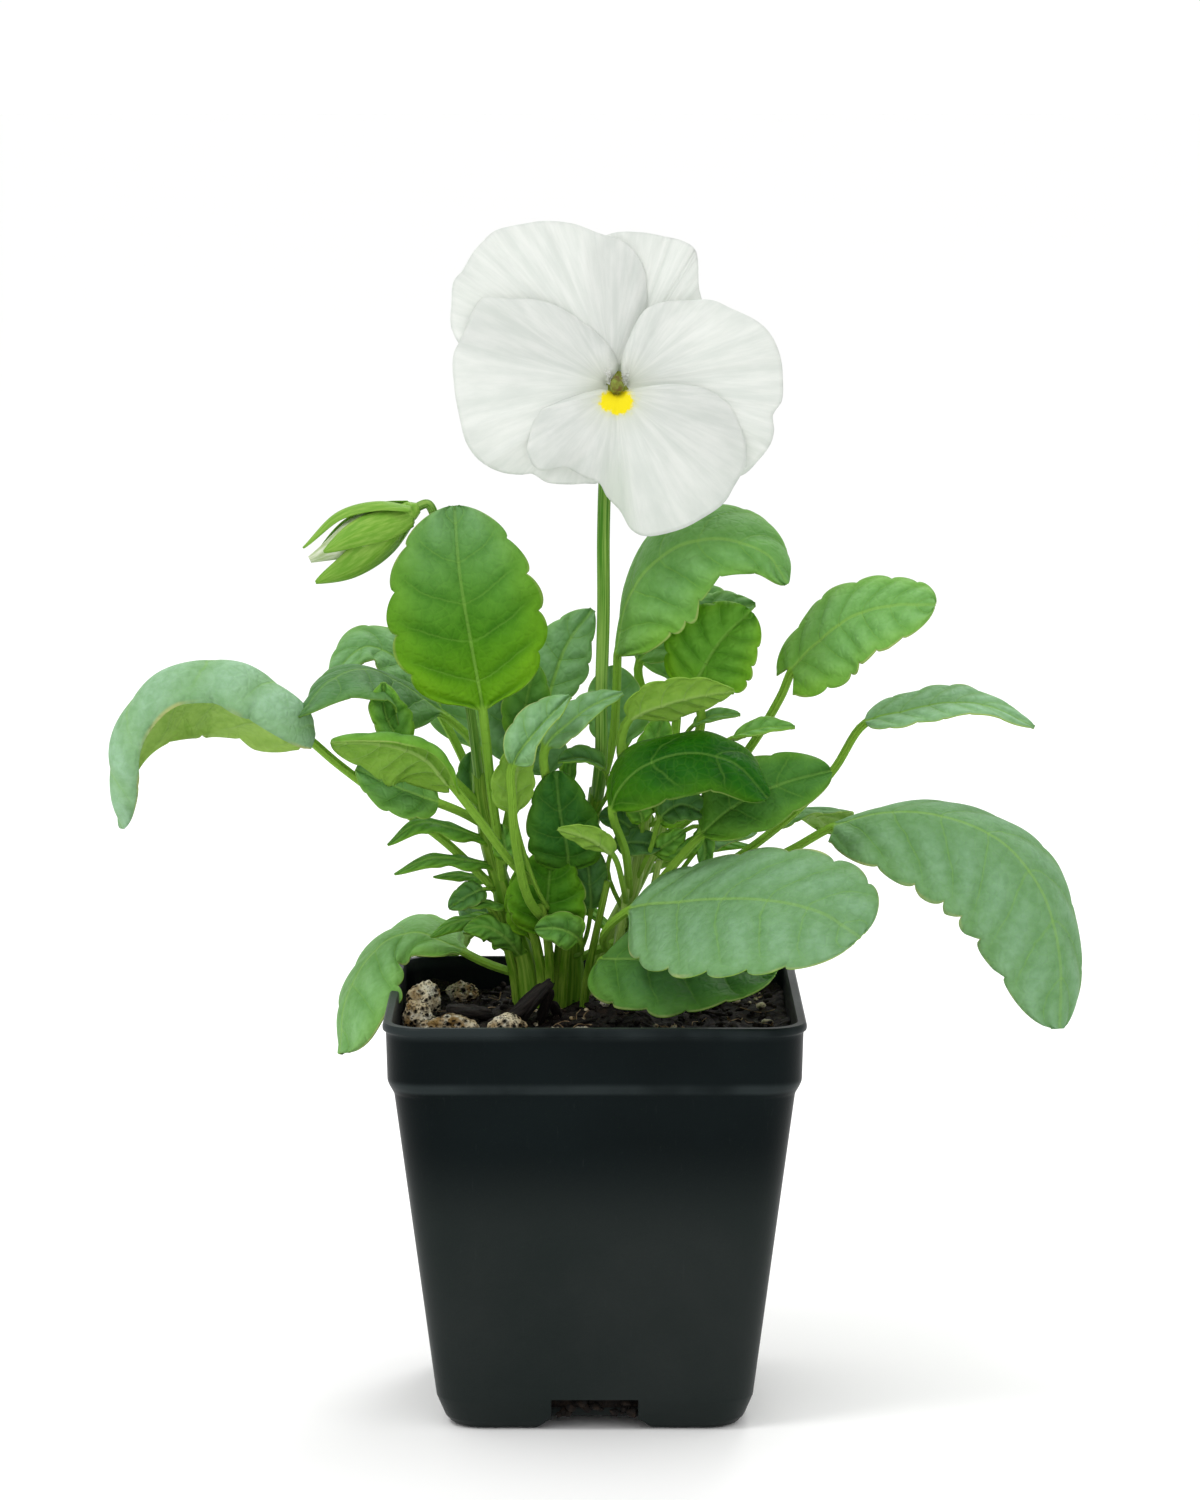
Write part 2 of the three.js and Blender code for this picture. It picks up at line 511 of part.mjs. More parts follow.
const LEAVES = {
  left: [
    // the tall one in front
    { bladeFrom: 4, width: 38, teeth: 5, fold: [12, 12],
      route: [[-21.5, 5, 119], [-22.5, -3, 132], [-24, -7, 145], [-25.5, -9, 156],
        [-26.5, -10, 165], [-29.5, -10, 180], [-32, -9, 195], [-33, -5, 210]],
      faces: [[0.1, -1, 0], [0, -1, 0.1], [0, -0.9, 0.4]] },
    // arches far out, its near half rolled over
    { bladeFrom: 4, width: 42, teeth: 5, cols: 7, fold: [25, 24], roll: [-180, -10], halves: [1.3, 0.75],
      lobe: 5, shape: LOBED,
      route: [[-21, 5, 117], [-36, 1.5, 132], [-50, 1, 142], [-60, -1, 150], [-66.5, -3, 154.5],
        [-73.5, -4, 159], [-80.5, -4, 163.5], [-88, -5, 168], [-96, -7, 167.5],
        [-104, -9, 161], [-108.1, -10, 151], [-109.7, -11, 143], [-109.6, -11, 136]],
      faces: [[0.2, 0.8, 0.5], [0, 0.9, 0.5], [-1, 0.2, 0]] },
    // reaches over the arching one
    { bladeFrom: 2, width: 27, teeth: 5, fold: [-8, -20], shape: LANCE,
      route: [[-26.5, 3, 143], [-28, 6, 153], [-36, 6, 161], [-45, 3, 168], [-53, -2, 172],
        [-61, -9, 170], [-68, -16, 162.5]],
      faces: [[0.3, -0.4, 0.8], [0, -0.4, 1], [-0.6, -0.3, 0.6]] },
    // pale, behind
    { bladeFrom: 2, width: 20, teeth: 5,
      route: [[-24, 4, 128], [-29, 15, 144], [-38, 21, 161], [-46, 22, 171], [-54, 21, 174.5],
        [-62, 17, 168]],
      faces: [[0.4, -0.5, 0.6], [0, -0.5, 1], [-0.5, -0.3, 0.6]] },
    // small and folded
    { bladeFrom: 2, width: 12, teeth: 4, cols: 3, fold: [30, 30], shape: LANCE,
      route: [[-26.3, 3, 139], [-35, -3, 148], [-43, -9, 154], [-48, -11, 162], [-48.5, -12, 170]],
      faces: [[0.5, -0.6, 0.3], [0.5, -0.8, 0.2], [0, -1, 0.2]] },
    // short, under the pale one
    { bladeFrom: 2, width: 16, teeth: 4, cols: 3, shape: LANCE,
      route: [[-25.2, 3, 134.5], [-31, -5, 139], [-36, -8, 141.5], [-42, -10, 144],
        [-49, -11, 147], [-55, -11, 150]],
      faces: [[0.3, -0.6, 0.6], [0, -0.7, 0.7], [0, -0.7, 0.7]] },
    // hangs over the rim on the left
    { bladeFrom: 2, width: 36, teeth: 5, fold: [-4, -30], roll: [-10, -20], halves: [0.7, 1.1], shape: BROAD,
      route: [[-16, 8, 98], [-25, 6, 101], [-34, 5, 105], [-42, 6, 108], [-50, 6, 106.5],
        [-56, 4, 101], [-59, 1, 92], [-59.5, -1, 81.5]],
      faces: [[0.2, -0.5, 0.9], [-0.6, -0.5, 0.8], [-0.9, -0.45, 0.2]] },
    // narrow and upright
    { bladeFrom: 2, width: 12, teeth: 4, cols: 3, fold: [16, 16], shape: LANCE,
      route: [[-23, 4, 123], [-19.5, 10, 140], [-18, 12, 153], [-16, 12, 163], [-14, 12, 172]],
      faces: [[0.2, -0.9, 0.2], [0.2, -0.9, 0.2], [0.2, -0.9, 0.3]] },
    // tall, at the back
    { bladeFrom: 2, width: 28, teeth: 5,
      route: [[-20.5, 6, 115], [-24, 20, 133], [-27, 32, 150], [-30, 40, 163], [-33, 47, 176],
        [-36, 54, 186]],
      faces: [[0, -0.8, 0.5], [0, -0.7, 0.7], [0, -0.4, 0.9]] },
    // at the back, to the left
    { bladeFrom: 2, width: 25, teeth: 5,
      route: [[-15.7, 8, 99], [-20, 22, 101.5], [-25, 34, 103], [-30, 43, 104], [-35, 51, 101],
        [-38, 55, 93]],
      faces: [[0.3, -0.4, 0.9], [-0.2, 0.2, 1], [-0.5, 0.7, 0.4]] },
  ],
  middle: [
    // pale, its upper edge rolled over to the left
    { bladeFrom: 3, width: 24, teeth: 5, cols: 7, fold: [20, 6], roll: [-120, -10], halves: [0.85, 1.1],
      lobe: 4,
      route: [[-4.5, 11, 113], [-18, -6, 126], [-27, -13, 139], [-33.5, -17, 148], [-39, -20, 154],
        [-47, -22, 157], [-60, -24, 158]],
      faces: [[0.4, 0.6, 0.7], [0, 0.8, 0.6], [0, 0.7, 0.7]] },
    // a folded strap
    { bladeFrom: 2, width: 10, teeth: 4, cols: 3, fold: [14, 14], shape: LANCE,
      route: [[-3.5, 9, 121], [-10, -5, 142], [-11.5, -8, 154], [-5.5, -9, 160.5], [0, -9, 164.5],
        [6.5, -8, 167]],
      faces: [[0.3, -0.7, 0.5], [-0.2, -0.6, 0.8], [-0.2, -0.5, 0.8]] },
    // dark, in the middle
    { bladeFrom: 1, width: 18, teeth: 4,
      route: [[-4, 10, 116], [-6, -1, 125], [-6.5, -6, 131], [-8, -8, 139], [-9, -8, 149]],
      faces: [[0, -0.8, -0.3], [0, -1, 0.1], [0, -1, 0.4]] },
    // folded, in front
    { bladeFrom: 4, width: 12, teeth: 3, cols: 3, fold: [35, 35], shape: LANCE,
      route: [[-5, 12, 106], [-15, -6, 118], [-18, -11, 131], [-19, -14, 143], [-19, -15, 151],
        [-12.5, -15, 160], [-5.5, -14, 167]],
      faces: [[0.4, -0.8, 0], [-0.4, -0.7, 0.6], [-0.4, -0.7, 0.6]] },
    // behind the middle
    { bladeFrom: 2, width: 15, teeth: 4, cols: 3, shape: LANCE,
      route: [[-1.5, 7, 131], [-8, 18, 148], [-11, 21, 160], [-9, 22, 169], [-6, 23, 176],
        [-0.5, 25, 183]],
      faces: [[0.3, -0.8, 0.3], [0, -0.9, 0.4], [0, -0.8, 0.5]] },
    // large, just under the bloom
    { bladeFrom: 3, width: 38, teeth: 6, fold: [-34, 2], roll: [-40, -6], halves: [1, 0.85],
      route: [[-0.5, 6, 137], [4, 10, 153], [5, 9, 166], [5.5, 7, 178], [8, 5, 188], [13, 2, 197],
        [21, -2, 204.5], [31, -4, 207], [41, -6, 203], [45, -7, 195]],
      faces: [[-0.8, -0.6, 0.2], [-0.3, -1, 0.3], [0.4, -0.9, 0.4]] },
    // the long drooping one
    { bladeFrom: 4, width: 44, teeth: 7, fold: [-28, -4], roll: [-26, -10], halves: [0.8, 1.05], lobe: 3,
      route: [[-5, 13, 101], [13, 14, 109], [29.5, 12, 119], [46, 9, 128], [57, 6, 134.5],
        [69.5, 2, 138], [82.5, -1, 138.5], [94.5, -4, 133], [102.5, -6, 121],
        [106.3, -7, 105], [106.3, -8, 89]],
      faces: [[-0.2, -0.5, 0.85], [0.25, -0.85, 0.6], [0.35, -1, 0.2]] },
  ],
  right: [
    // small and pale, in the middle
    { bladeFrom: 3, width: 9, teeth: 3, cols: 3, shape: LANCE, stalk: 0.8,
      route: [[7.5, 6, 113], [5, -6, 122], [2, -14, 131], [-2, -17, 136.5], [-9, -18, 139]],
      faces: [[0.5, -0.6, 0.5], [-0.2, -0.7, 0.7], [0, -0.7, 0.7]] },
    // pale, seen from below
    { bladeFrom: 3, width: 15, teeth: 5, cols: 3, shape: LANCE,
      route: [[12, 2, 139], [8, -2, 146], [6, -3, 153.5], [8, -6, 161], [16, -9, 165],
        [24.5, -10, 167], [32, -11, 168]],
      faces: [[-0.3, 0.7, 0.5], [0, 0.7, 0.7], [0, 0.6, 0.8]] },
    // dark and drooping, in front
    { bladeFrom: 2, width: 25, teeth: 5, fold: [-10, -10],
      route: [[8, 5, 117], [7, -9, 130], [4, -15, 142], [10, -17, 150.5], [21, -19, 154.5],
        [31.5, -20, 152.5], [39.5, -21, 144.5]],
      faces: [[-0.7, -0.6, 0.4], [0, -0.6, 0.9], [0.7, -0.5, 0.4]] },
    // dark, behind that one
    { bladeFrom: 2, width: 19, teeth: 5, shape: ROUND,
      route: [[6.5, 6.5, 109], [15, -7, 123], [25, -11, 135], [32, -11, 141], [42.5, -10, 146],
        [54.5, -8, 149]],
      faces: [[-0.5, -0.6, 0.6], [-0.2, -0.9, 0.5], [0, -0.8, 0.7]] },
    // broad and low, in front
    { bladeFrom: 2, width: 37, teeth: 6, fold: [2, 2], shape: BROAD,
      route: [[5.5, 8, 101], [2, -6, 110.5], [9, -14, 118], [18, -22, 120], [29, -32, 121],
        [41, -42, 120.5], [51, -49.7, 119.5], [59.5, -55.3, 116]],
      faces: [[-0.4, -0.6, 0.8], [0, -0.7, 0.8], [0.2, -0.8, 0.6]] },
    // the lowest one
    { bladeFrom: 2, width: 33, teeth: 5, fold: [4, 4], shape: ROUND,
      route: [[5, 8, 98], [2, -4, 103], [2, -12, 105.5], [10, -18, 106.5], [20, -22, 106],
        [31, -26, 105.5], [41, -30, 105]],
      faces: [[-0.4, -0.5, 0.8], [0, -0.6, 0.8], [0.2, -0.5, 0.9]] },
  ],
  back: [
    // behind that one
    { bladeFrom: 2, width: 16, teeth: 5, cols: 3, shape: LANCE,
      route: [[17, 16, 141], [14, 25, 156], [10.5, 28, 170], [22, 28, 178], [30.5, 27, 182.5],
        [38, 26, 184]],
      faces: [[-0.4, -0.7, 0.5], [-0.2, -0.6, 0.8], [0, -0.5, 0.8]] },
    // round
    { bladeFrom: 3, width: 25, teeth: 5, shape: ROUND,
      route: [[18, 15, 148], [23, 12, 152], [25, 11, 159], [23.5, 10, 166], [26, 9, 172],
        [30, 9, 178], [36.5, 11, 184]],
      faces: [[0, -0.9, 0.2], [-0.1, -0.9, 0.4], [0, -0.8, 0.6]] },
    // raised on the right
    { bladeFrom: 4, width: 24, teeth: 6, fold: [-14, 4], halves: [1.05, 0.85], lobe: 5, shape: LOBED,
      route: [[14, 17.5, 128], [25, 15, 137], [36.5, 12, 152], [43.5, 11, 164], [46.5, 10, 171],
        [53, 8, 178], [60, 5, 183.5], [69, 0, 186.5], [78.5, -4, 187]],
      faces: [[-0.5, -0.7, 0.5], [-0.3, -0.8, 0.6], [0, -0.8, 0.6]] },
    // small, on the right
    { bladeFrom: 2, width: 9, teeth: 4, cols: 3, fold: [16, 16], shape: LANCE, stalk: 0.8,
      route: [[17, 16, 142], [25, 8, 150], [32, 4, 155], [39, 2, 157.5], [46.5, 1, 158]],
      faces: [[0, -0.3, 1], [0, -0.4, 1], [0, -0.3, 1]] },
    // slender, reaching right
    { bladeFrom: 5, width: 17, teeth: 6, shape: LANCE,
      route: [[7, 20, 113], [20, 19, 117], [33, 15, 125], [47.5, 12, 137], [56, 10, 147],
        [63, 8, 158], [72, 6, 161.5], [81.5, 4, 163.5], [91, 2, 162.5], [102, 0, 156.5]],
      faces: [[-0.4, -0.4, 0.8], [0, -0.4, 1], [0.4, -0.3, 0.9]] },
    // hangs over the back rim
    { bladeFrom: 2, width: 30, teeth: 5, fold: [-4, -4],
      route: [[0.5, 22, 98], [10, 32, 105], [17, 42, 109], [21, 50, 106], [24, 55, 98],
        [25, 56.5, 87]],
      faces: [[0, 0, 1], [0.1, 0.6, 0.9], [0.2, 1, 0.1]] },
    // at the back, to the right
    { bladeFrom: 2, width: 29, teeth: 5,
      route: [[11, 19, 121], [24, 28, 125], [35, 36, 129], [45, 42.5, 132], [53, 48.5, 131],
        [59, 53, 125]],
      faces: [[-0.3, -0.3, 0.9], [0.2, 0.2, 1], [0.5, 0.6, 0.6]] },
    // high, at the back
    { bladeFrom: 2, width: 26, teeth: 5,
      route: [[16, 16.5, 136], [19, 31, 151], [20, 39, 165], [20, 45, 176], [20, 51, 184],
        [20, 55.4, 187]],
      faces: [[0, -0.7, 0.7], [0, -0.2, 1], [0, 0.3, 1]] },
  ],
};

// ----------------------------------------------------------------------------- bloom

// Bloom coordinates are right, up and out, towards the side that the bloom looks to.
const bloomPose = new THREE.Matrix4().makeBasis(
  new THREE.Vector3(1, 0, 0),
  new THREE.Vector3(0, Math.sin(radians(BLOOM_TILT)), Math.cos(radians(BLOOM_TILT))),
  new THREE.Vector3(0, -Math.cos(radians(BLOOM_TILT)), Math.sin(radians(BLOOM_TILT))),
).setPosition(vec(BLOOM_CENTRE));

const PETAL_BASE = -5.9;       // how far out the claws meet, all in one throat
const THROAT_RADIUS = 4.5;     // outside it the petals are in their layers

// A petal is a fan of rays from its claw to its rim. The rim's points are right and up
// from the throat, clockwise. Round the throat it dips to the base that all petals share.
function petal({ rim, claw, layer, cup, ruffle, waves }) {
  const rays = 15;
  const shares = [0.06, 0.3, 0.65, 1];
  const flatRim = rim.map(([x, y]) => new THREE.Vector3(x, y, 0));
  const edge = new THREE.CatmullRomCurve3(flatRim, false, 'centripetal');
  const root = new THREE.Vector3(claw[0], claw[1], 0);
  const front = [];
  const back = [];
  for (const t of shares) {
    const upper = [];
    const lower = [];
    for (let j = 0; j <= rays; j++) {
      const point = root.clone().lerp(edge.getPoint(j / rays), t);
      const wave = ruffle * t ** 2 * Math.sin(waves * 2 * Math.PI * j / rays);
      const dip = Math.exp(-((Math.hypot(point.x, point.y - 1) / THROAT_RADIUS) ** 2));
      const out = THREE.MathUtils.lerp(layer, PETAL_BASE, dip) + cup * t * (1 - t) * 4 + wave;
      upper.push(new THREE.Vector3(point.x, point.y, out + PETAL_THICKNESS / 2).applyMatrix4(bloomPose));
      lower.push(new THREE.Vector3(point.x, point.y, out - PETAL_THICKNESS / 2).applyMatrix4(bloomPose));
    }
    front.push(upper);
    back.push(lower);
  }
  return sheet(front, back);
}

const PETALS = [
  { layer: -6.6, cup: -0.3, ruffle: 0.8, waves: 2, claw: [1, 3],
    rim: [[-5, 13], [-7, 24], [-6, 33], [-1.5, 36], [5, 36.5], [11, 35.5], [15, 34.5], [18, 32.5],
      [18.7, 30.5], [19, 24], [20, 18], [17, 12], [10, 6]] },
  { layer: -4.2, cup: 0.3, ruffle: 0.8, waves: 2, claw: [-1, 3],
    rim: [[-14, 4], [-26, 5], [-34, 8], [-38, 14], [-38, 20], [-37.5, 25], [-35.5, 27.5],
      [-33.5, 31], [-31, 34], [-28, 36.5], [-22, 38], [-16, 38.8], [-9.5, 38], [-4, 36], [2, 34],
      [6, 29], [7, 20], [5, 12]] },
  { layer: -1.5, cup: 1, ruffle: 0.8, waves: 3, claw: [-2, 1],
    rim: [[-2, -14], [-4, -21.5], [-7.5, -21.8], [-11, -22], [-16, -21.5], [-19.5, -19.5],
      [-22, -19.7], [-27, -19], [-31.5, -16.5], [-34.5, -12.5], [-36, -7], [-37.2, -0.5], [-37.5, 8],
      [-35.5, 12], [-33, 18], [-30.5, 21], [-25.5, 20.7], [-19, 20.6], [-13, 18.8], [-8.5, 16],
      [-4.5, 12.5], [-1.6, 9]] },
  { layer: -1.5, cup: 1, ruffle: 0.8, waves: 3, claw: [2, 1],
    rim: [[1.8, 11], [6.4, 18], [10.8, 20], [16, 20.4], [22, 20.4], [26, 18.6], [33, 15], [36, 11.5],
      [37.8, 7], [38.3, 2], [38, -2.8], [36, -6], [36.2, -9.5], [35.5, -12.5], [33, -16],
      [28.5, -20], [20, -19], [11, -12]] },
  { layer: 2, cup: 1, ruffle: 0.9, waves: 3, claw: [0, -1],
    rim: [[5.3, -1.6], [9.4, 0.5], [15.5, 0.7], [21, -0.5], [25.5, -3.5], [28, -8], [29.6, -12.5],
      [29.6, -17.5], [27, -22.5], [24.5, -26.5], [19, -30.3], [14.5, -32.5], [6.5, -34],
      [3.4, -32.5], [0.7, -28], [-2.3, -24.8], [-4, -21.8], [-7.5, -20.4], [-11.5, -18.3],
      [-18, -18.8], [-20.5, -14.7], [-20, -11], [-18, -5.5], [-14.5, -3.7], [-8.7, -1.8], [-4, -1.2]] },
];

const EDGE_DROP = 0.25;        // a narrow blade's edges lie lower by this part of its half-width

// A narrow pointed blade of three columns, for sepals and stipules.
function narrowBlade({ route, width, faces }) {
  const rows = 4;
  const curve = new THREE.CatmullRomCurve3(route.map(vec), false, 'centripetal');
  const directions = faces.map((face) => vec(face).normalize());
  const front = [];
  const back = [];
  for (let i = 0; i <= rows; i++) {
    const t = i / rows;
    const centre = curve.getPoint(t);
    const along = curve.getTangent(t);
    const up = directions[0].clone().lerp(directions[1], t);
    up.addScaledVector(along, -up.dot(along)).normalize();
    const side = new THREE.Vector3().crossVectors(along, up);
    const half = Math.max(0.5, width / 2 * Math.sin(Math.PI * (0.12 + 0.85 * t)) ** 0.8);
    const upper = [];
    const lower = [];
    for (const q of [-1, 0, 1]) {
      const point = centre.clone()
        .addScaledVector(side, q * half)
        .addScaledVector(up, -EDGE_DROP * Math.abs(q) * half);
      upper.push(point.clone().addScaledVector(up, BLADE_THICKNESS / 2));
      lower.push(point.clone().addScaledVector(up, -BLADE_THICKNESS / 2));
    }
    front.push(upper);
    back.push(lower);
  }
  return sheet(front, back);
}

const SPINDLE_SIDES = 8;

// A closed turned body along a line, from radii at even steps.
function spindle({ from, to, radii }, clearance = 0) {
  const start = vec(from);
  const along = vec(to).sub(start);
  const across = new THREE.Vector3(0, 0, 1)
    .addScaledVector(along, -along.z / along.lengthSq())
    .normalize();
  const other = new THREE.Vector3().crossVectors(along, across).normalize();
  const rings = radii.map((radius, i) => {
    const centre = start.clone().addScaledVector(along, i / (radii.length - 1));
    return Array.from({ length: SPINDLE_SIDES }, (_, j) => {
      const angle = 2 * Math.PI * j / SPINDLE_SIDES;
      return centre.clone()
        .addScaledVector(across, (radius + clearance) * Math.cos(angle))
        .addScaledVector(other, (radius + clearance) * Math.sin(angle));
    });
  });
  return loft(rings);
}

// Behind the bloom: the receptacle, five sepals spread against the petals, and the
// blunt spur that points back over the stalk.
const bloomPoint = (x, y, out) => new THREE.Vector3(x, y, out).applyMatrix4(bloomPose).toArray();
const RECEPTACLE = { from: bloomPoint(0, 1, -7.3), to: bloomPoint(0, 1, -12), radii: [3.4, 4, 3.2, 1.6] };
const THROAT = { from: bloomPoint(0, 1, -6.3), to: bloomPoint(0, 1, -5.2), radii: [3, 3] };
const SPUR = { from: bloomPoint(0, 3, -9), to: bloomPoint(0, 8, -15), radii: [2, 1.9, 1.7, 0.8] };
const PISTIL = {
  from: bloomPoint(0, 1.2, -7),
  to: bloomPoint(0, -0.2, 3.4),
  radii: [0.9, 0.9, 0.9, 1.1, 1.5, 0.7],
};

function makeCalyx() {
  let calyx = spindle(RECEPTACLE).add(spindle(SPUR));
  for (const [angle, length] of [[90, 13], [20, 12], [160, 12], [-50, 14], [-130, 14]]) {
    const c = Math.cos(radians(angle));
    const s = Math.sin(radians(angle));
    const steps = [[2, -8.6], [length * 0.5, -9.2], [length, -10.2]];
    calyx = calyx.add(narrowBlade({
      route: steps.map(([r, out]) => bloomPoint(r * c, 1 + r * s, out)),
      width: 4.4,
      faces: [[0, 1, 0], [0, 1, 0]],
    }));
  }
  return calyx;
}

// ------------------------------------------------------------------------------- bud

const BUD_NECK = [-42, -4, 209];
const BUD_TIP = [-63.5, -6.5, 198.5];
const BUD_CORE = { from: [-45, -4.3, 207.5], to: BUD_TIP, radii: [2.2, 3.6, 4.2, 3.6, 2.2, 0.8] };
const BUD_KNOB = { from: [-40.5, -3.8, 209.5], to: [-44.4, -4.2, 207.8], radii: [1.2, 2.4, 2.2] };

// Five sepals lie round the rolled petals, and their tips stand a little off.
const BUD_SEPALS = [
  { route: [[-42, -6, 210], [-50, -6, 211], [-59, -6, 208.5], [-67, -7, 200.5]], width: 5.5,
    faces: [[0.2, 0, 1], [-0.5, -0.3, 1]] },
  { route: [[-42, -6, 208], [-48, -9.5, 206.5], [-55, -11, 204], [-62, -11.5, 200]], width: 6,
    faces: [[0.2, -1, 0.3], [-0.2, -1, 0.2]] },
  { route: [[-42, -5, 207.5], [-48, -7.5, 201.5], [-56, -8.5, 196.5], [-64, -9, 193]], width: 6.5,
    faces: [[0.3, -0.7, -0.5], [0, -0.8, -0.5]] },
  { route: [[-42, -3, 207.5], [-47, -0.5, 201], [-54, 0, 197], [-61, 0, 194]], width: 5.5,
    faces: [[0.3, 0.7, -0.6], [0, 0.7, -0.6]] },
  { route: [[-42, -2.5, 209.5], [-49, 1, 208], [-57, 1, 204.5], [-64, 0, 199]], width: 5.5,
    faces: [[0.2, 1, 0.4], [-0.1, 1, 0.4]] },
];

// ------------------------------------------------------------------------- the object

const FLOWER_STALK = {
  route: [[0.5, 5, 141], [1, 1, 146], [1.5, 0, 152], [1.5, 0, 165], [2, 0, 185], [2, 1, 203],
    [2.5, 4.5, 218], [3.5, 9.5, 227], [4.5, 11.8, 232.5], [5, 10.5, 236], [5, 7.5, 236.7]],
  radii: [1.5, 1.4, 1.4, 1.4, 1.3],
};

const BUD_STALK = {
  route: [[-27, 3, 145], [-28, -2, 156], [-30, -3, 170], [-33, -3, 186], [-35.5, -3, 200],
    [-37, -3.5, 208], [-38.5, -3.5, 210.3], BUD_NECK],
  radii: [1.1, 1.0, 1.0, 1.0],
};

const group = new THREE.Group();

function addNode(name, solid, colour, roughness = 0.6) {
  const material = new THREE.MeshStandardMaterial({ color: COLOURS[colour], roughness, metalness: 0 });
  const mesh = new THREE.Mesh(geometryFromSolid(solid), material);
  mesh.name = name;
  group.add(mesh);
}

addNode('pot', makePot(), 'pot', 0.4);

let soil = makeSoil();
for (const stem of Object.values(STEMS)) {
  soil = soil.subtract(tube(stem, SEAT_GAP));
}
for (const stone of STONES) {
  soil = soil.subtract(lump(stone, SEAT_GAP));
  addNode(stone.name, lump(stone), 'pumice', 0.9);
}
for (const piece of CHIPS) {
  soil = soil.subtract(chip(piece, SEAT_GAP));
  addNode(piece.name, chip(piece), 'bark', 0.9);
}
addNode('soil', largestPiece(soil), 'soil', 0.95);

// What grows from a stem is of one piece with it. A scrap or a sealed hollow that the
// join leaves is dropped.
const join = (solids) => largestPiece(solids.reduce((whole, solid) => whole.add(solid)));

for (const [side, stem] of Object.entries(STEMS)) {
  const leafyStem = join([tube(stem), ...STIPULES[side].map(narrowBlade), ...LEAVES[side].map(leaf)]);
  addNode(`leafy_stem_${side}`, leafyStem, 'leaf');
}

const petals = join([spindle(THROAT), ...PETALS.map(petal)]);
addNode('bloom_petals', largestPiece(petals.subtract(spindle(PISTIL, SEAT_GAP))), 'petal', 0.7);
addNode('pistil', spindle(PISTIL), 'pistil');
const flowerStalk = join([tube(FLOWER_STALK), makeCalyx()]).subtract(tube(STEMS.middle, SEAT_GAP));
addNode('flower_stalk', largestPiece(flowerStalk), 'stem');

const budStalk = join([tube(BUD_STALK), spindle(BUD_KNOB), ...BUD_SEPALS.map(narrowBlade)])
  .subtract(tube(STEMS.left, SEAT_GAP))
  .subtract(spindle(BUD_CORE, SEAT_GAP));
addNode('bud_stalk', largestPiece(budStalk), 'sepal');
addNode('bud_petals', spindle(BUD_CORE), 'petal');

export default group;
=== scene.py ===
import math
import random

import bmesh
import bpy
import numpy as np
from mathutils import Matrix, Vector, noise


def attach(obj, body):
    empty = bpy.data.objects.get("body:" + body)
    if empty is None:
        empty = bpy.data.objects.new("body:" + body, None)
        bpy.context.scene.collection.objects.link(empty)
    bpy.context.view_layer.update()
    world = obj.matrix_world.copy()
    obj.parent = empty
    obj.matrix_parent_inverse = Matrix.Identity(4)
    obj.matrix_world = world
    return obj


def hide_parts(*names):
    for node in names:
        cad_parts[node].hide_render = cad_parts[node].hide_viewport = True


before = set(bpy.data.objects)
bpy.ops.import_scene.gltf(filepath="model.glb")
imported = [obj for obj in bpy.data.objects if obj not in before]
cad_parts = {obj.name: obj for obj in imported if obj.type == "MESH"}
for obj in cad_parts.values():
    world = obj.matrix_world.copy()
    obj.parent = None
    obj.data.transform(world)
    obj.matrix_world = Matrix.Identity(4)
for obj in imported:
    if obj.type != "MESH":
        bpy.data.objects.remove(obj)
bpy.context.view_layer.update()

# ------------------------------------------------------------------------------ sizes

MM = 0.001                      # one millimetre in metres

RIM_WIDTH = 96
POT_HEIGHT = 96
LIP_THICKNESS = 1.6
COLLAR_HEIGHT = 13
COLLAR_WIDTH = 94.5
BODY_TOP_WIDTH = 91
BODY_FOOT_WIDTH = 73
WALL = 1.8
FOOT_HEIGHT = 2.4
FOOT_REACH = 14.6
NOTCH_WIDTH = 20
NOTCH_HEIGHT = 5.7
NOTCH_REACH = 6
CORNER = 9
LEDGE_RISE = 2

SOIL_LEVEL = 89
SEAT_GAP = 0.3
BLADE_THICKNESS = 0.5
NOTCH_PHASE = 0.06              # where each leaf tooth's notch lies, as part of the tooth
VEIN_SLANT = 0.2                # side veins meet the midrib this far before the margin
PETAL_THICKNESS = 0.34
BLOOM_CENTRE = (5, -4, 237)
BLOOM_TILT = 7                  # degrees that the bloom looks upward

LEDGE_Z = POT_HEIGHT - COLLAR_HEIGHT - LIP_THICKNESS
LIP_Z = POT_HEIGHT - LIP_THICKNESS
FLOOR_TOP = FOOT_HEIGHT + WALL


# ------------------------------------------------------------------- curves and sheets

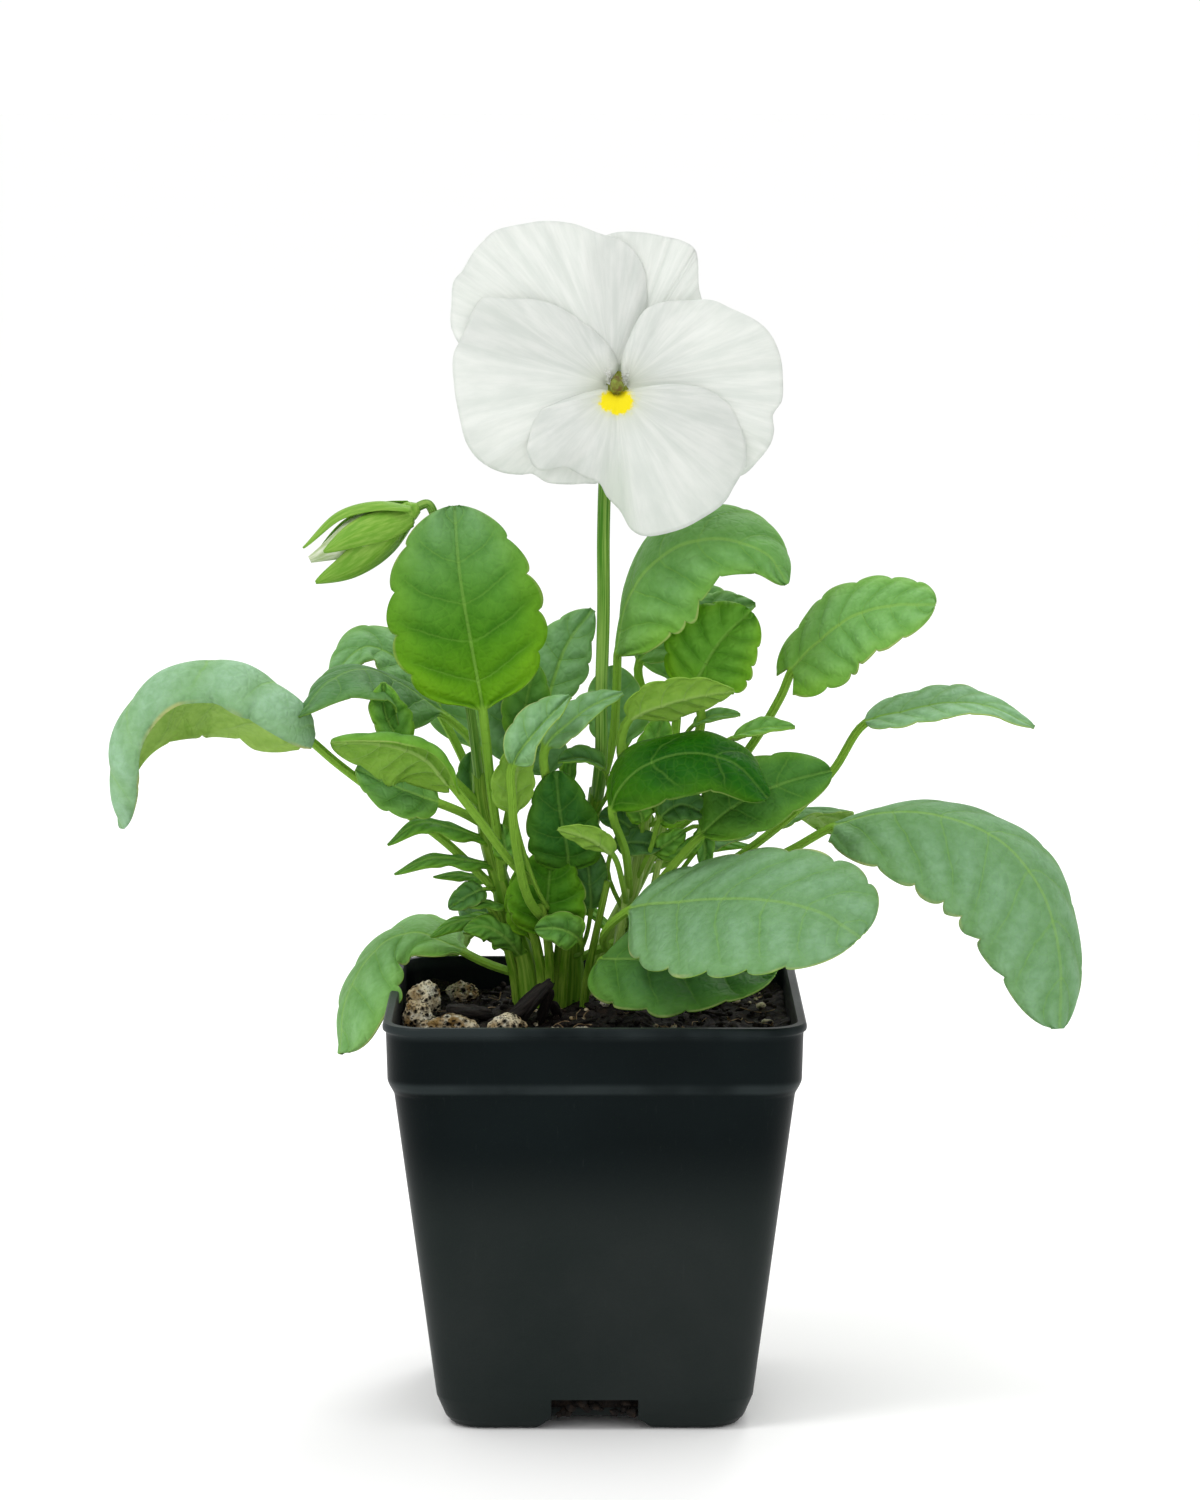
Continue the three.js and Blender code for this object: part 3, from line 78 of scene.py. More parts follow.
class Route:
    """A centripetal spline through points, the one that the solids follow."""

    def __init__(self, points):
        self.points = np.array(points, float)

    def at(self, t):
        last = len(self.points) - 1
        place = last * min(max(t, 0.0), 1.0)
        k = min(int(place), last - 1)
        w = place - k
        p1, p2 = self.points[k], self.points[k + 1]
        p0 = self.points[k - 1] if k > 0 else 2 * p1 - p2
        p3 = self.points[k + 2] if k + 2 <= last else 2 * p2 - p1
        spans = ((p0, p1), (p1, p2), (p2, p3))
        g0, g1, g2 = [max(float(np.sum((b - a) ** 2)) ** 0.25, 1e-4) for a, b in spans]
        t1 = ((p1 - p0) / g0 - (p2 - p0) / (g0 + g1) + (p2 - p1) / g1) * g1
        t2 = ((p2 - p1) / g1 - (p3 - p1) / (g1 + g2) + (p3 - p2) / g2) * g1
        square = -3 * p1 + 3 * p2 - 2 * t1 - t2
        cube = 2 * p1 - 2 * p2 + t1 + t2
        return p1 + t1 * w + square * w * w + cube * w ** 3

    def along(self, t):
        step = 1e-3
        return unit(self.at(min(t + step, 1)) - self.at(max(t - step, 0)))

    def axes(self, t, up):
        """The ways along the route, to its side and up. The last is as near as it gets to the one given."""
        along = self.along(t)
        up = unit(up - along * up.dot(along))
        return along, np.cross(along, up), up


def unit(v):
    v = np.asarray(v, float)
    return v / np.linalg.norm(v)


def smooth(x, low, high):
    x = np.clip((np.asarray(x, float) - low) / (high - low), 0, 1)
    return x * x * (3 - 2 * x)


def mix(a, b, share):
    return a + (b - a) * share


class Skin:
    """Points, the faces between them, and what the finishes read at each point."""

    def __init__(self, points, faces, uv=None, finish=0, **marks):
        self.points = np.asarray(points, float).reshape(-1, 3)
        self.faces = faces
        count = len(self.points)
        self.uv = np.zeros((count, 2)) if uv is None else np.asarray(uv, float).reshape(-1, 2)
        self.finish = np.broadcast_to(finish, len(faces))
        self.marks = {key: np.broadcast_to(np.ravel(value), count) for key, value in marks.items()}


def quads(rows, cols, ring=False, flip=False, first=0):
    """Faces between the neighbouring rows of a grid. A ring's last column meets its first."""
    i = np.arange(rows - 1)[:, None] * cols
    j = np.arange(cols if ring else cols - 1)[None, :]
    after = (j + 1) % cols
    faces = np.stack([i + j, i + after, i + after + cols, i + j + cols], -1).reshape(-1, 4) + first
    return (faces[:, ::-1] if flip else faces).tolist()


def loft(rings, uv=None):
    """A closed skin over rings of points, capped at both ends."""
    rings = np.asarray(rings, float)
    rows, cols = rings.shape[:2]
    faces = quads(rows, cols, ring=True)
    faces.append(list(range(cols))[::-1])
    faces.append([(rows - 1) * cols + j for j in range(cols)])
    return Skin(rings, faces, uv)


def around(sides):
    """Angles spread evenly round a section."""
    return [2 * math.pi * j / sides for j in range(sides)]


def section(centre, across, other, radii):
    """A ring of points about a centre, with a radius for each of its angles."""
    angles = around(len(radii))
    return [centre + across * (r * math.cos(a)) + other * (r * math.sin(a)) for r, a in zip(radii, angles)]


def section_lay(sides, steps):
    """How the surface runs: round the sections and along the piece."""
    return [(j / sides, i / steps) for i in range(steps + 1) for j in range(sides)]


def sheet(front, back, uv, **marks):
    """A closed sheet between two grids. Its front takes the first finish and the rest the second."""
    rows, cols = front.shape[:2]
    size = rows * cols
    faces = quads(rows, cols)
    fronts = len(faces)
    faces += quads(rows, cols, flip=True, first=size)
    right, end = cols - 1, (rows - 1) * cols
    for i in range(rows - 1):
        a, b = i * cols, (i + 1) * cols
        faces.append([a, b, b + size, a + size])
        faces.append([a + right, a + right + size, b + right + size, b + right])
    for j in range(right):
        faces.append([j, j + size, j + 1 + size, j + 1])
        faces.append([end + j, end + j + 1, end + j + 1 + size, end + j + size])
    finish = np.arange(len(faces)) >= fronts
    twice = {key: np.tile(np.ravel(np.broadcast_to(value, (rows, cols))), 2) for key, value in marks.items()}
    both = np.concatenate([uv.reshape(-1, 2)] * 2)
    points = np.concatenate([front.reshape(-1, 3), back.reshape(-1, 3)])
    return Skin(points, faces, both, finish.astype(int), **twice)


def piece(name, skins, finishes, node, sharp=None):
    """One object from skins in millimetres. It stands for a node and rides on the root body."""
    faces, count = [], 0
    for skin in skins:
        faces += [[i + count for i in face] for face in skin.faces]
        count += len(skin.points)
    points = np.concatenate([skin.points for skin in skins])
    uv = np.concatenate([skin.uv for skin in skins])
    indices = np.concatenate([skin.finish for skin in skins])
    mesh = bpy.data.meshes.new(name)
    mesh.from_pydata((points * MM).tolist(), [], faces)
    loops = np.zeros(len(mesh.loops), int)
    mesh.loops.foreach_get("vertex_index", loops)
    layer = mesh.uv_layers.new(name="lay")
    layer.data.foreach_set("uv", uv[loops].ravel())
    for key in sorted({key for skin in skins for key in skin.marks}):
        values = [skin.marks.get(key, np.zeros(len(skin.points))) for skin in skins]
        attribute = mesh.attributes.new(key, "FLOAT", "POINT")
        attribute.data.foreach_set("value", np.concatenate(values))
    for finish in finishes:
        mesh.materials.append(finish.material)
    mesh.polygons.foreach_set("material_index", indices.astype(int))
    mesh.shade_smooth()
    if sharp is not None:
        mesh.set_sharp_from_angle(angle=math.radians(sharp))
    mesh.update()
    shown = bpy.data.objects.new(name, mesh)
    bpy.context.scene.collection.objects.link(shown)
    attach(shown, "root")
    if node:
        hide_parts(node)


# --------------------------------------------------------------------------- finishes

class Wire:
    """The value of one socket in a finish. An expression on it adds Math nodes."""

    def __init__(self, finish, socket):
        self.finish = finish
        self.socket = socket

    def maths(self, operation, *others, first=None):
        values = [self, *others] if first is None else [first, self, *others]
        return self.finish.node("Math", {"operation": operation}, dict(enumerate(values)))

    def __add__(self, other):
        return self.maths("ADD", other)

    __radd__ = __add__

    def __sub__(self, other):
        return self.maths("SUBTRACT", other)

    def __rsub__(self, other):
        return self.maths("SUBTRACT", first=other)

    def __mul__(self, other):
        return self.maths("MULTIPLY", other)

    __rmul__ = __mul__

    def __pow__(self, other):
        return self.maths("POWER", other)

    def __abs__(self):
        return self.maths("ABSOLUTE")

    def from_whole(self):
        """How far the value is from the nearest whole number."""
        return abs(self - self.maths("ROUND"))

    def rise(self, low, high):
        """A smooth step, 0 below low and 1 above high."""
        sockets = {"Value": self, "From Min": low, "From Max": high}
        return self.finish.node("MapRange", {"interpolation_type": "SMOOTHSTEP"}, sockets)

    def fall(self, low, high):
        return 1 - self.rise(low, high)


class Finish:
    """One material. Its name is the finish in a maker's words."""

    def __init__(self, name):
        self.material = bpy.data.materials.new(name)
        self.material.use_nodes = True
        self.tree = self.material.node_tree
        self.tree.nodes.clear()

    def node(self, kind, settings=None, sockets=None, out=0):
        """A node of one kind: its settings first, then the values or links of its sockets."""
        made = self.tree.nodes.new("ShaderNode" + kind)
        for key, value in (settings or {}).items():
            setattr(made, key, value)
        for key, value in (sockets or {}).items():
            self.feed(self.find(made.inputs, key), value)
        return Wire(self, self.find(made.outputs, out)) if len(made.outputs) else None

    @staticmethod
    def find(sockets, key):
        if isinstance(key, int):
            return sockets[key]
        return next((s for s in sockets if s.identifier == key), None) or sockets[key]

    def feed(self, socket, value):
        if isinstance(value, Wire):
            self.tree.links.new(value.socket, socket)
        elif hasattr(value, "__len__") and len(value) == 3 and socket.type == "RGBA":
            socket.default_value = (*value, 1)
        else:
            socket.default_value = value

    def place(self):
        """Where a point lies on the piece, in metres."""
        return self.node("TexCoord", out="Object")

    def lay(self):
        """How the piece's own surface runs: across and along."""
        return self.node("UVMap", {"uv_map": "lay"}, out="UV")

    def across_along(self):
        split = self.node("SeparateXYZ", sockets={"Vector": self.lay()}, out="X")
        return split, Wire(self, split.socket.node.outputs["Y"])

    def mark(self, name):
        return self.node("Attribute", {"attribute_name": name}, out="Fac")

    def stretched(self, vector, size):
        return self.node("Mapping", sockets={"Vector": vector, "Scale": size}, out="Vector")

    def cloud(self, scale, detail=3.0, vector=None, roughness=0.55):
        """Soft noise from 0 to 1."""
        sockets = {"Vector": vector or self.place(), "Scale": scale, "Detail": detail, "Roughness": roughness}
        return self.node("TexNoise", sockets=sockets, out="Fac")

    def cells(self, scale, feature="F1"):
        """How far a point is from the middle of its cell, or from the cell's edge."""
        sockets = {"Vector": self.place(), "Scale": scale}
        return self.node("TexVoronoi", {"feature": feature}, sockets, out="Distance")

    def blend(self, share, first, second, how="MIX"):
        """A colour between two others."""
        sockets = {"Factor_Float": share, "A_Color": first, "B_Color": second}
        return self.node("Mix", {"data_type": "RGBA", "blend_type": how}, sockets, out="Result_Color")

    def tinted(self, colour, tint):
        return self.blend(1.0, colour, tint, "MULTIPLY")

    def relief(self, height, strength, depth):
        sockets = {"Height": height, "Strength": strength, "Distance": depth}
        return self.node("Bump", sockets=sockets, out="Normal")

    def surface(self, glow=None, glow_share=0.0, **sockets):
        """The shader. With a glow colour, part of the light passes through the thin piece."""
        named = {key.replace("_", " "): value for key, value in sockets.items()}
        shader = self.node("BsdfPrincipled", sockets=named, out="BSDF")
        if glow is not None:
            through = self.node("BsdfTranslucent", sockets={"Color": glow}, out="BSDF")
            shader = self.node("MixShader", sockets={0: glow_share, 1: shader, 2: through}, out="Shader")
        self.node("OutputMaterial", sockets={"Surface": shader})
        return self


VEIN_NET = 430                  # cells of the fine vein net in a metre
LEAF_GRAIN = 1500
LEAF_STALK_GREEN = (0.23, 0.45, 0.045)


def leaf_colour(f, deep, fresh, grey):
    """The green of one leaf: its row's marks say how young it is and how grey, partly a frosted bloom and
    partly painted sheen.
    """
    shade = f.blend(f.mark("young"), deep, fresh)
    shade = f.blend(f.mark("frost"), shade, grey)
    mottle = f.cloud(60, 3).rise(0.3, 0.7) * 0.35 + f.cloud(420, 4).rise(0.3, 0.7) * 0.65
    return f.blend(mottle, f.tinted(shade, (0.8, 0.86, 0.77)), f.tinted(shade, (1.17, 1.12, 1.22)))


class Veins:
    """Masks worked out from the blade's own lay: its veins, and how it swells between them."""

    def __init__(self, f):
        across, along = f.across_along()
        q = abs(across * 2 - 1)                 # 0 at the midrib and 1 at the margin
        wobble = (f.cloud(160, 2) - 0.5) * 0.22
        phase = (along + VEIN_SLANT * (1 - q ** 1.3)) * f.mark("teeth") - (0.5 + NOTCH_PHASE) + wobble
        off_vein = phase.from_whole()
        self.to_margin = q
        self.midrib = (q * f.mark("span")).fall(0.22, 0.6) * (1 - along * 0.6)
        self.side = off_vein.fall(0.01, 0.045) * q.fall(0.55, 0.95) * (1 - along * 0.4)
        self.warm = (q.rise(0.45, 1.0) + along.fall(0.0, 0.4)) * 0.5
        self.puffed = off_vein.rise(0.04, 0.42) * q.rise(0.05, 0.4) * q.fall(0.8, 1.0)
        self.valley_shade = off_vein.fall(0.03, 0.24) * q.rise(0.03, 0.25) * q.fall(0.6, 0.98)
        self.net = f.cells(VEIN_NET, "DISTANCE_TO_EDGE")


def leaf_top():
    """Deep green when old, yellow green when young; greyish where frosted, and partly from painted sheen."""
    f = Finish("pansy_leaf_upper_side")
    veins = Veins(f)
    young, frost = f.mark("young"), f.mark("frost")
    colour = leaf_colour(f, (0.009, 0.092, 0.0012), (0.14, 0.41, 0.006), (0.27, 0.485, 0.245))
    colour = f.blend(veins.warm * (1 - frost) * (0.3 + young), colour, (0.2, 0.45, 0.01))
    # painted highlight: the swellings between the veins are lighter and bluer, as where they catch the light
    colour = f.blend(veins.puffed * 0.35, colour, f.tinted(colour, (1.5, 1.32, 1.9)))
    # painted shade: darker in the hollows along the veins
    colour = f.blend(veins.valley_shade * (0.6 - frost * 0.7), colour, f.tinted(colour, (0.55, 0.7, 0.55)))
    colour = f.blend(veins.net.fall(0.0, 0.1) * 0.07, colour, (0.19, 0.43, 0.04))
    colour = f.blend(veins.side * (0.16 + frost * 0.22 + young * 0.1), colour, (0.24, 0.48, 0.07))
    colour = f.blend(veins.midrib * (0.25 + frost * 0.4 + young * 0.4), colour, (0.3, 0.54, 0.1))
    pale_edge = veins.to_margin.rise(0.95, 0.99) * f.cloud(70, 2).rise(0.4, 0.6) * (0.3 + frost * 0.6)
    colour = f.blend(pale_edge, colour, (0.56, 0.6, 0.22))
    colour = f.blend(f.mark("blade").fall(0.2, 0.9), colour, LEAF_STALK_GREEN)
    grain = f.cloud(LEAF_GRAIN, 3)
    height = veins.puffed * 1.2 + veins.net.rise(0.0, 0.25) * 0.4 - veins.side * 0.5 - veins.midrib * 0.6
    return f.surface(
        glow=(0.2, 0.52, 0.02), glow_share=0.16, Base_Color=colour,
        Roughness=0.42 + grain * 0.18 + frost * 0.1,
        Normal=f.relief(height + grain * 0.25, 0.6, 0.0005), Specular_IOR_Level=0.09,
    )


def leaf_under():
    """Paler than the top, with raised veins."""
    f = Finish("pansy_leaf_under_side")
    veins = Veins(f)
    colour = leaf_colour(f, (0.08, 0.24, 0.015), (0.22, 0.44, 0.035), (0.34, 0.54, 0.11))
    colour = f.blend(veins.warm * 0.3, colour, (0.25, 0.43, 0.04))
    # painted shade: darker in the hollows along the veins
    colour = f.blend(veins.valley_shade * 0.3, colour, f.tinted(colour, (0.7, 0.8, 0.65)))
    colour = f.blend(veins.net.fall(0.0, 0.1) * 0.12, colour, (0.26, 0.42, 0.12))
    colour = f.blend(veins.side * 0.4, colour, (0.3, 0.46, 0.14))
    colour = f.blend(veins.midrib * 0.75, colour, (0.33, 0.5, 0.13))
    colour = f.blend(f.mark("blade").fall(0.2, 0.9), colour, LEAF_STALK_GREEN)
    grain = f.cloud(LEAF_GRAIN, 3)
    height = veins.side * 0.8 + veins.midrib * 0.4 - veins.puffed - veins.net.rise(0.0, 0.25) * 0.4
    return f.surface(
        glow=(0.24, 0.52, 0.03), glow_share=0.16, Base_Color=colour, Roughness=0.52 + grain * 0.2,
        Normal=f.relief(height + grain * 0.25, 0.5, 0.0005), Specular_IOR_Level=0.14,
    )


def stem_skin(name, pale, dark, streaks=26.0):
    """A stem's skin, streaked along its length."""
    f = Finish(name)
    lay = f.stretched(f.lay(), (streaks, 5.0, 1.0))
    streak = f.cloud(1.0, 4, lay)
    colour = f.blend(streak.rise(0.35, 0.7), dark, pale)
    colour = f.blend(f.cloud(70, 3).rise(0.5, 0.8) * 0.5, colour, pale)
    grain = f.cloud(1400, 2)
    return f.surface(
        glow=(0.3, 0.5, 0.08), glow_share=0.08, Base_Color=colour, Roughness=0.4 + grain * 0.16,
        Normal=f.relief(streak + grain * 0.3, 0.5, 0.0004), Specular_IOR_Level=0.15,
    )


def petal_skin():
    """White petals: soft streaks along the rays, cream by the throat, yellow on the lip."""
    f = Finish("white_petal")
    right, up = f.mark("right"), f.mark("up")
    lay = f.stretched(f.lay(), (34.0, 2.2, 1.0))
    streak = f.cloud(1.0, 5, lay, 0.6)
    fine = f.cloud(1.0, 3, f.stretched(f.lay(), (120.0, 3.0, 1.0)))
    colour = f.blend(streak.rise(0.3, 0.72), (0.69, 0.722, 0.695), (0.85, 0.862, 0.842))
    colour = f.blend(fine.rise(0.5, 0.75) * 0.4, colour, (0.68, 0.71, 0.69))
    colour = f.blend(f.cloud(45, 2).rise(0.5, 0.8) * 0.35, colour, (0.72, 0.76, 0.71))
    reach = (right * right + (up + 1) * (up + 1)) ** 0.5
    colour = f.blend(reach.fall(3.0, 12.0) * 0.3, colour, (0.66, 0.7, 0.5))
    frayed = f.cloud(900, 3) * 3.0
    lip = f.mark("lip")
    # painted shade: a grey-green band down the lip's central fold
    fold = abs(right + 1.2 + up * 0.06).fall(1.2, 4.6) * up.fall(-24.0, -9.0) * lip
    colour = f.blend(fold * (0.25 + streak * 0.4), colour, (0.56, 0.63, 0.53))
    patch = ((right - 0.1) * (right - 0.1) * 0.57 + (up + 3.3) * (up + 3.3)) ** 0.5 + frayed - 1.5
    colour = f.blend(patch.fall(2.6, 4.6) * lip * 0.4, colour, (0.75, 0.75, 0.3))
    yellow = patch.fall(2.5, 3.4) * lip
    colour = f.blend(yellow, colour, (0.8, 0.67, 0.003))
    narrow = right * (1.5 + up * 0.33)
    throat = (narrow * narrow + (up - 0.8) * (up - 0.8) * 0.35) ** 0.5
    colour = f.blend((throat + frayed * 0.25).fall(1.0, 2.2), colour, (0.2, 0.22, 0.01))
    grain = f.cloud(1100, 3)
    height = streak * 0.8 + fine * 0.3 + grain * 0.12
    return f.surface(
        glow=(0.9, 0.92, 0.87), glow_share=0.34 - yellow * 0.34, Base_Color=colour,
        Roughness=0.55 + grain * 0.2, Normal=f.relief(height, 0.3, 0.0005),
        Specular_IOR_Level=0.2, Sheen_Weight=0.1, Sheen_Roughness=0.4,
    )


def plain_skin(name, first, second, scale, roughness):
    """A two-colour mottled skin with a fine grain."""
    f = Finish(name)
    blotch = f.cloud(scale, 4)
    grain = f.cloud(scale * 8, 3)
    return f.surface(
        Base_Color=f.blend(blotch.rise(0.35, 0.68), first, second), Roughness=roughness + grain * 0.15,
        Normal=f.relief(blotch * 0.6 + grain * 0.5, 0.5, 0.0003), Specular_IOR_Level=0.25,
    )


def pot_plastic():
    """Black moulded plastic with a faint haze and fine scuffs, painted reflection lighter low down, painted
    highlights.
    """
    f = Finish("black_pot_plastic")
    haze = f.cloud(26, 5)
    grain = f.cloud(2600, 2)
    scuff = f.cloud(1.0, 4, f.stretched(f.place(), (900.0, 900.0, 60.0)), 0.7)
    height = f.node("SeparateXYZ", sockets={"Vector": f.place()}, out="Z")
    black = f.blend(haze.rise(0.35, 0.75), (0.0006, 0.003, 0.0034), (0.002, 0.0055, 0.006))
    # painted reflection: the lower body is lighter, the collar stays black
    low_reflection = f.blend(haze.rise(0.3, 0.75), (0.0115, 0.0165, 0.0155), (0.0175, 0.022, 0.021))
    colour = f.blend((height + haze * 0.016).fall(0.052, 0.078), black, low_reflection)
    colour = f.blend(scuff.rise(0.6, 0.8) * 0.25, colour, (0.026, 0.032, 0.032))
    ledge, lip = LEDGE_Z * MM, LIP_Z * MM
    # painted highlight: a light line along the ledge's top edge and round the lip
    edge_glint = height.rise(ledge - 0.0012, ledge - 0.0002) * height.fall(ledge + 0.0008, ledge + 0.0022)
    edge_glint = (edge_glint + height.rise(lip - 0.0019, lip + 0.0001)) * f.cloud(40, 3).rise(0.25, 0.6)
    colour = f.blend(edge_glint * 0.55, colour, (0.032, 0.042, 0.043))
    return f.surface(
        Base_Color=colour, Roughness=0.3 + haze * 0.12 + scuff * 0.12,
        Normal=f.relief(grain * 0.5 + haze * 0.8, 0.12, 0.0006), Specular_IOR_Level=0.07,
        Sheen_Weight=0.03, Sheen_Roughness=0.35,
    )


def mix_skin():
    """Damp potting mix: near black, with brown crumbs."""
    f = Finish("damp_potting_mix")
    crumbs = f.cells(420)
    fleck = f.cloud(520, 4)
    colour = f.blend(fleck.rise(0.4, 0.7), (0.004, 0.003, 0.0025), (0.022, 0.014, 0.009))
    colour = f.blend(crumbs.fall(0.1, 0.4) * 0.5, colour, (0.012, 0.009, 0.007))
    specks = f.cells(900).fall(0.04, 0.12) * f.cloud(150, 2).rise(0.55, 0.62)
    colour = f.blend(specks, colour, (0.2, 0.15, 0.09))
    return f.surface(
        Base_Color=colour, Roughness=0.7 + fleck * 0.25,
        Normal=f.relief(crumbs + fleck, 0.9, 0.0012), Specular_IOR_Level=0.2,
    )


def pumice_skin():
    """Pale pumice, stained brown, with dark pits."""
    f = Finish("stained_pumice")
    stain = f.cloud(150, 4)
    pits = f.cells(620)
    pores = f.cells(1500)
    colour = f.blend(stain.rise(0.4, 0.64), (0.52, 0.46, 0.32), (0.18, 0.11, 0.035))
    colour = f.blend(f.cloud(360, 3).rise(0.5, 0.7), colour, (0.5, 0.48, 0.39))
    colour = f.blend(pores.fall(0.15, 0.4) * 0.55, colour, (0.12, 0.1, 0.06))
    colour = f.blend(pits.fall(0.17, 0.36), colour, (0.008, 0.006, 0.004))
    height = pits.rise(0.1, 0.45) * 1.4 + pores.rise(0.1, 0.4) * 0.4 + stain * 0.5
    return f.surface(
        Base_Color=colour, Roughness=0.82 + stain * 0.12, Normal=f.relief(height, 1.0, 0.0016),
        Specular_IOR_Level=0.12,
    )


def bark_skin():
    """Damp bark, dark brown with fibres along it."""
    f = Finish("damp_bark")
    fibre = f.cloud(1.0, 5, f.stretched(f.lay(), (26.0, 3.0, 1.0)), 0.65)
    colour = f.blend(fibre.rise(0.35, 0.7), (0.003, 0.0024, 0.002), (0.02, 0.014, 0.011))
    colour = f.blend(f.cloud(300, 3).rise(0.62, 0.75) * 0.5, colour, (0.06, 0.04, 0.024))
    return f.surface(
        Base_Color=colour, Roughness=0.62 + fibre * 0.3, Normal=f.relief(fibre, 0.9, 0.001),
        Specular_IOR_Level=0.2,
    )


def floor_skin():
    f = Finish("pale_floor")
    tone = f.cloud(1.3, 2)
    colour = f.blend(tone, (0.98, 0.98, 0.975), (0.99, 0.99, 0.985))
    return f.surface(Base_Color=colour, Roughness=0.75 + tone * 0.1)


LEAF_TOP = leaf_top()
LEAF_UNDER = leaf_under()
STEM_SKIN = stem_skin("leafy_stem_skin", (0.24, 0.4, 0.045), (0.08, 0.22, 0.006))
PALE_STEM_SKIN = stem_skin("pale_stem_skin", (0.42, 0.56, 0.16), (0.19, 0.38, 0.04))
STALK_SKIN = stem_skin("flower_stalk_skin", (0.28, 0.46, 0.09), (0.05, 0.19, 0.008))
SEPAL_SKIN = stem_skin("green_sepal_skin", (0.26, 0.46, 0.07), (0.15, 0.35, 0.03), 9.0)
PETAL_SKIN = petal_skin()
BUD_SKIN = stem_skin("rolled_bud_petal", (0.72, 0.77, 0.6), (0.42, 0.53, 0.26), 14.0)
BEARD_SKIN = plain_skin("petal_beard_hair", (0.74, 0.76, 0.7), (0.82, 0.83, 0.8), 400, 0.5)
PISTIL_SKIN = plain_skin("green_brown_pistil", (0.13, 0.09, 0.015), (0.2, 0.26, 0.03), 700, 0.42)
THROAT_SKIN = plain_skin("yellow_green_throat", (0.35, 0.4, 0.05), (0.55, 0.55, 0.12), 500, 0.5)
POT_SKIN = pot_plastic()
MIX_SKIN = mix_skin()
PUMICE_SKIN = pumice_skin()
BARK_SKIN = bark_skin()
ROOT_SKIN = plain_skin("dry_root_fibre", (0.1, 0.06, 0.03), (0.28, 0.2, 0.11), 500, 0.7)
FLOOR_SKIN = floor_skin()


# -------------------------------------------------------------------------------- pot

def square_ring(width, corner, z, steps=12):
    """A square with round corners, with points along its straight sides as well."""
    reach = width / 2 - corner
    ring = []
    for quarter in range(4):
        middle = (quarter + 0.5) * math.pi / 2
        cx, cy = math.copysign(reach, math.cos(middle)), math.copysign(reach, math.sin(middle))
        for step in range(steps + 1):
            angle = (quarter + step / steps) * math.pi / 2
            ring.append((cx + corner * math.cos(angle), cy + corner * math.sin(angle), z))
        angle = (quarter + 1) * math.pi / 2
        run = (-math.sin(angle), math.cos(angle))
        x0, y0, _ = ring[-1]
        for step in range(1, steps):
            share = 2 * reach * step / steps
            ring.append((x0 + run[0] * share, y0 + run[1] * share, z))
    return ring


def eased(levels, cut=0.25):
    """The same levels with each inner one split in two, so that its edge is rounded."""
    made = [levels[0]]
    for before, level, after in zip(levels, levels[1:], levels[2:]):
        for other in (before, after):
            span = max(math.dist(level, other), 1e-6)
            share = min(cut / span, 0.4)
            made.append(tuple(mix(a, b, share) for a, b in zip(level, other)))
    made.append(levels[-1])
    return made


def cavity_levels(gap):
    """Widths, corners and heights of the inside of the pot, with a gap kept to its wall."""
    inset = 2 * (WALL + gap)
    return [
        (BODY_FOOT_WIDTH - inset - 6, CORNER - 4, FLOOR_TOP + gap),
        (BODY_FOOT_WIDTH - inset, CORNER - 2, FLOOR_TOP + gap + 5),
        (BODY_TOP_WIDTH - inset, CORNER - 1.5, LEDGE_Z),
        (COLLAR_WIDTH - inset, CORNER - 1, LEDGE_Z + LEDGE_RISE + 1),
        (COLLAR_WIDTH - inset + 0.5, CORNER - 1, POT_HEIGHT + 1),
    ]


def pot_outside():
    levels = [
        (BODY_FOOT_WIDTH - 9, CORNER - 2, 0),
        (BODY_FOOT_WIDTH - 6.8, CORNER - 1.6, 0.3),
        (BODY_FOOT_WIDTH - 4, CORNER - 1, 2),
        (BODY_FOOT_WIDTH, CORNER, 7),
        (BODY_TOP_WIDTH, CORNER, LEDGE_Z - LEDGE_RISE),
        (COLLAR_WIDTH - 1.5, CORNER, LEDGE_Z),
        (COLLAR_WIDTH - 0.6, CORNER, LEDGE_Z + 1.2),
        (COLLAR_WIDTH, CORNER, LIP_Z - 0.6),
        (RIM_WIDTH, CORNER + 0.5, LIP_Z),
        (RIM_WIDTH, CORNER + 0.5, POT_HEIGHT - 0.5),
        (RIM_WIDTH - 1, CORNER, POT_HEIGHT),
    ]
    return eased(eased(levels), 0.12)


def pot_hollow():
    *below, (lip_inside, _, _) = cavity_levels(0)
    rim = [(lip_inside, CORNER - 1, POT_HEIGHT - 0.5), (lip_inside + 1.6, CORNER - 0.6, POT_HEIGHT + 1)]
    return eased(below + rim)


def raw_block(name, rings):
    """A plain object in millimetres, used only while the pot is cut."""
    skin = loft(rings)
    mesh = bpy.data.meshes.new(name)
    mesh.from_pydata(skin.points.tolist(), [], skin.faces)
    block = bpy.data.objects.new(name, mesh)
    bpy.context.scene.collection.objects.link(block)
    return block


def notch_rings(quarter):
    """The box that cuts one side's drainage notch."""
    half, middle = NOTCH_WIDTH / 2, BODY_FOOT_WIDTH / 2
    near, far = middle - NOTCH_REACH, middle + NOTCH_REACH
    corners = [(-half, near), (half, near), (half, far), (-half, far)]
    for _ in range(quarter):
        corners = [(-y, x) for x, y in corners]
    low = FOOT_HEIGHT - 0.5
    return [[(x, y, z) for x, y in corners] for z in (low, low + NOTCH_HEIGHT)]


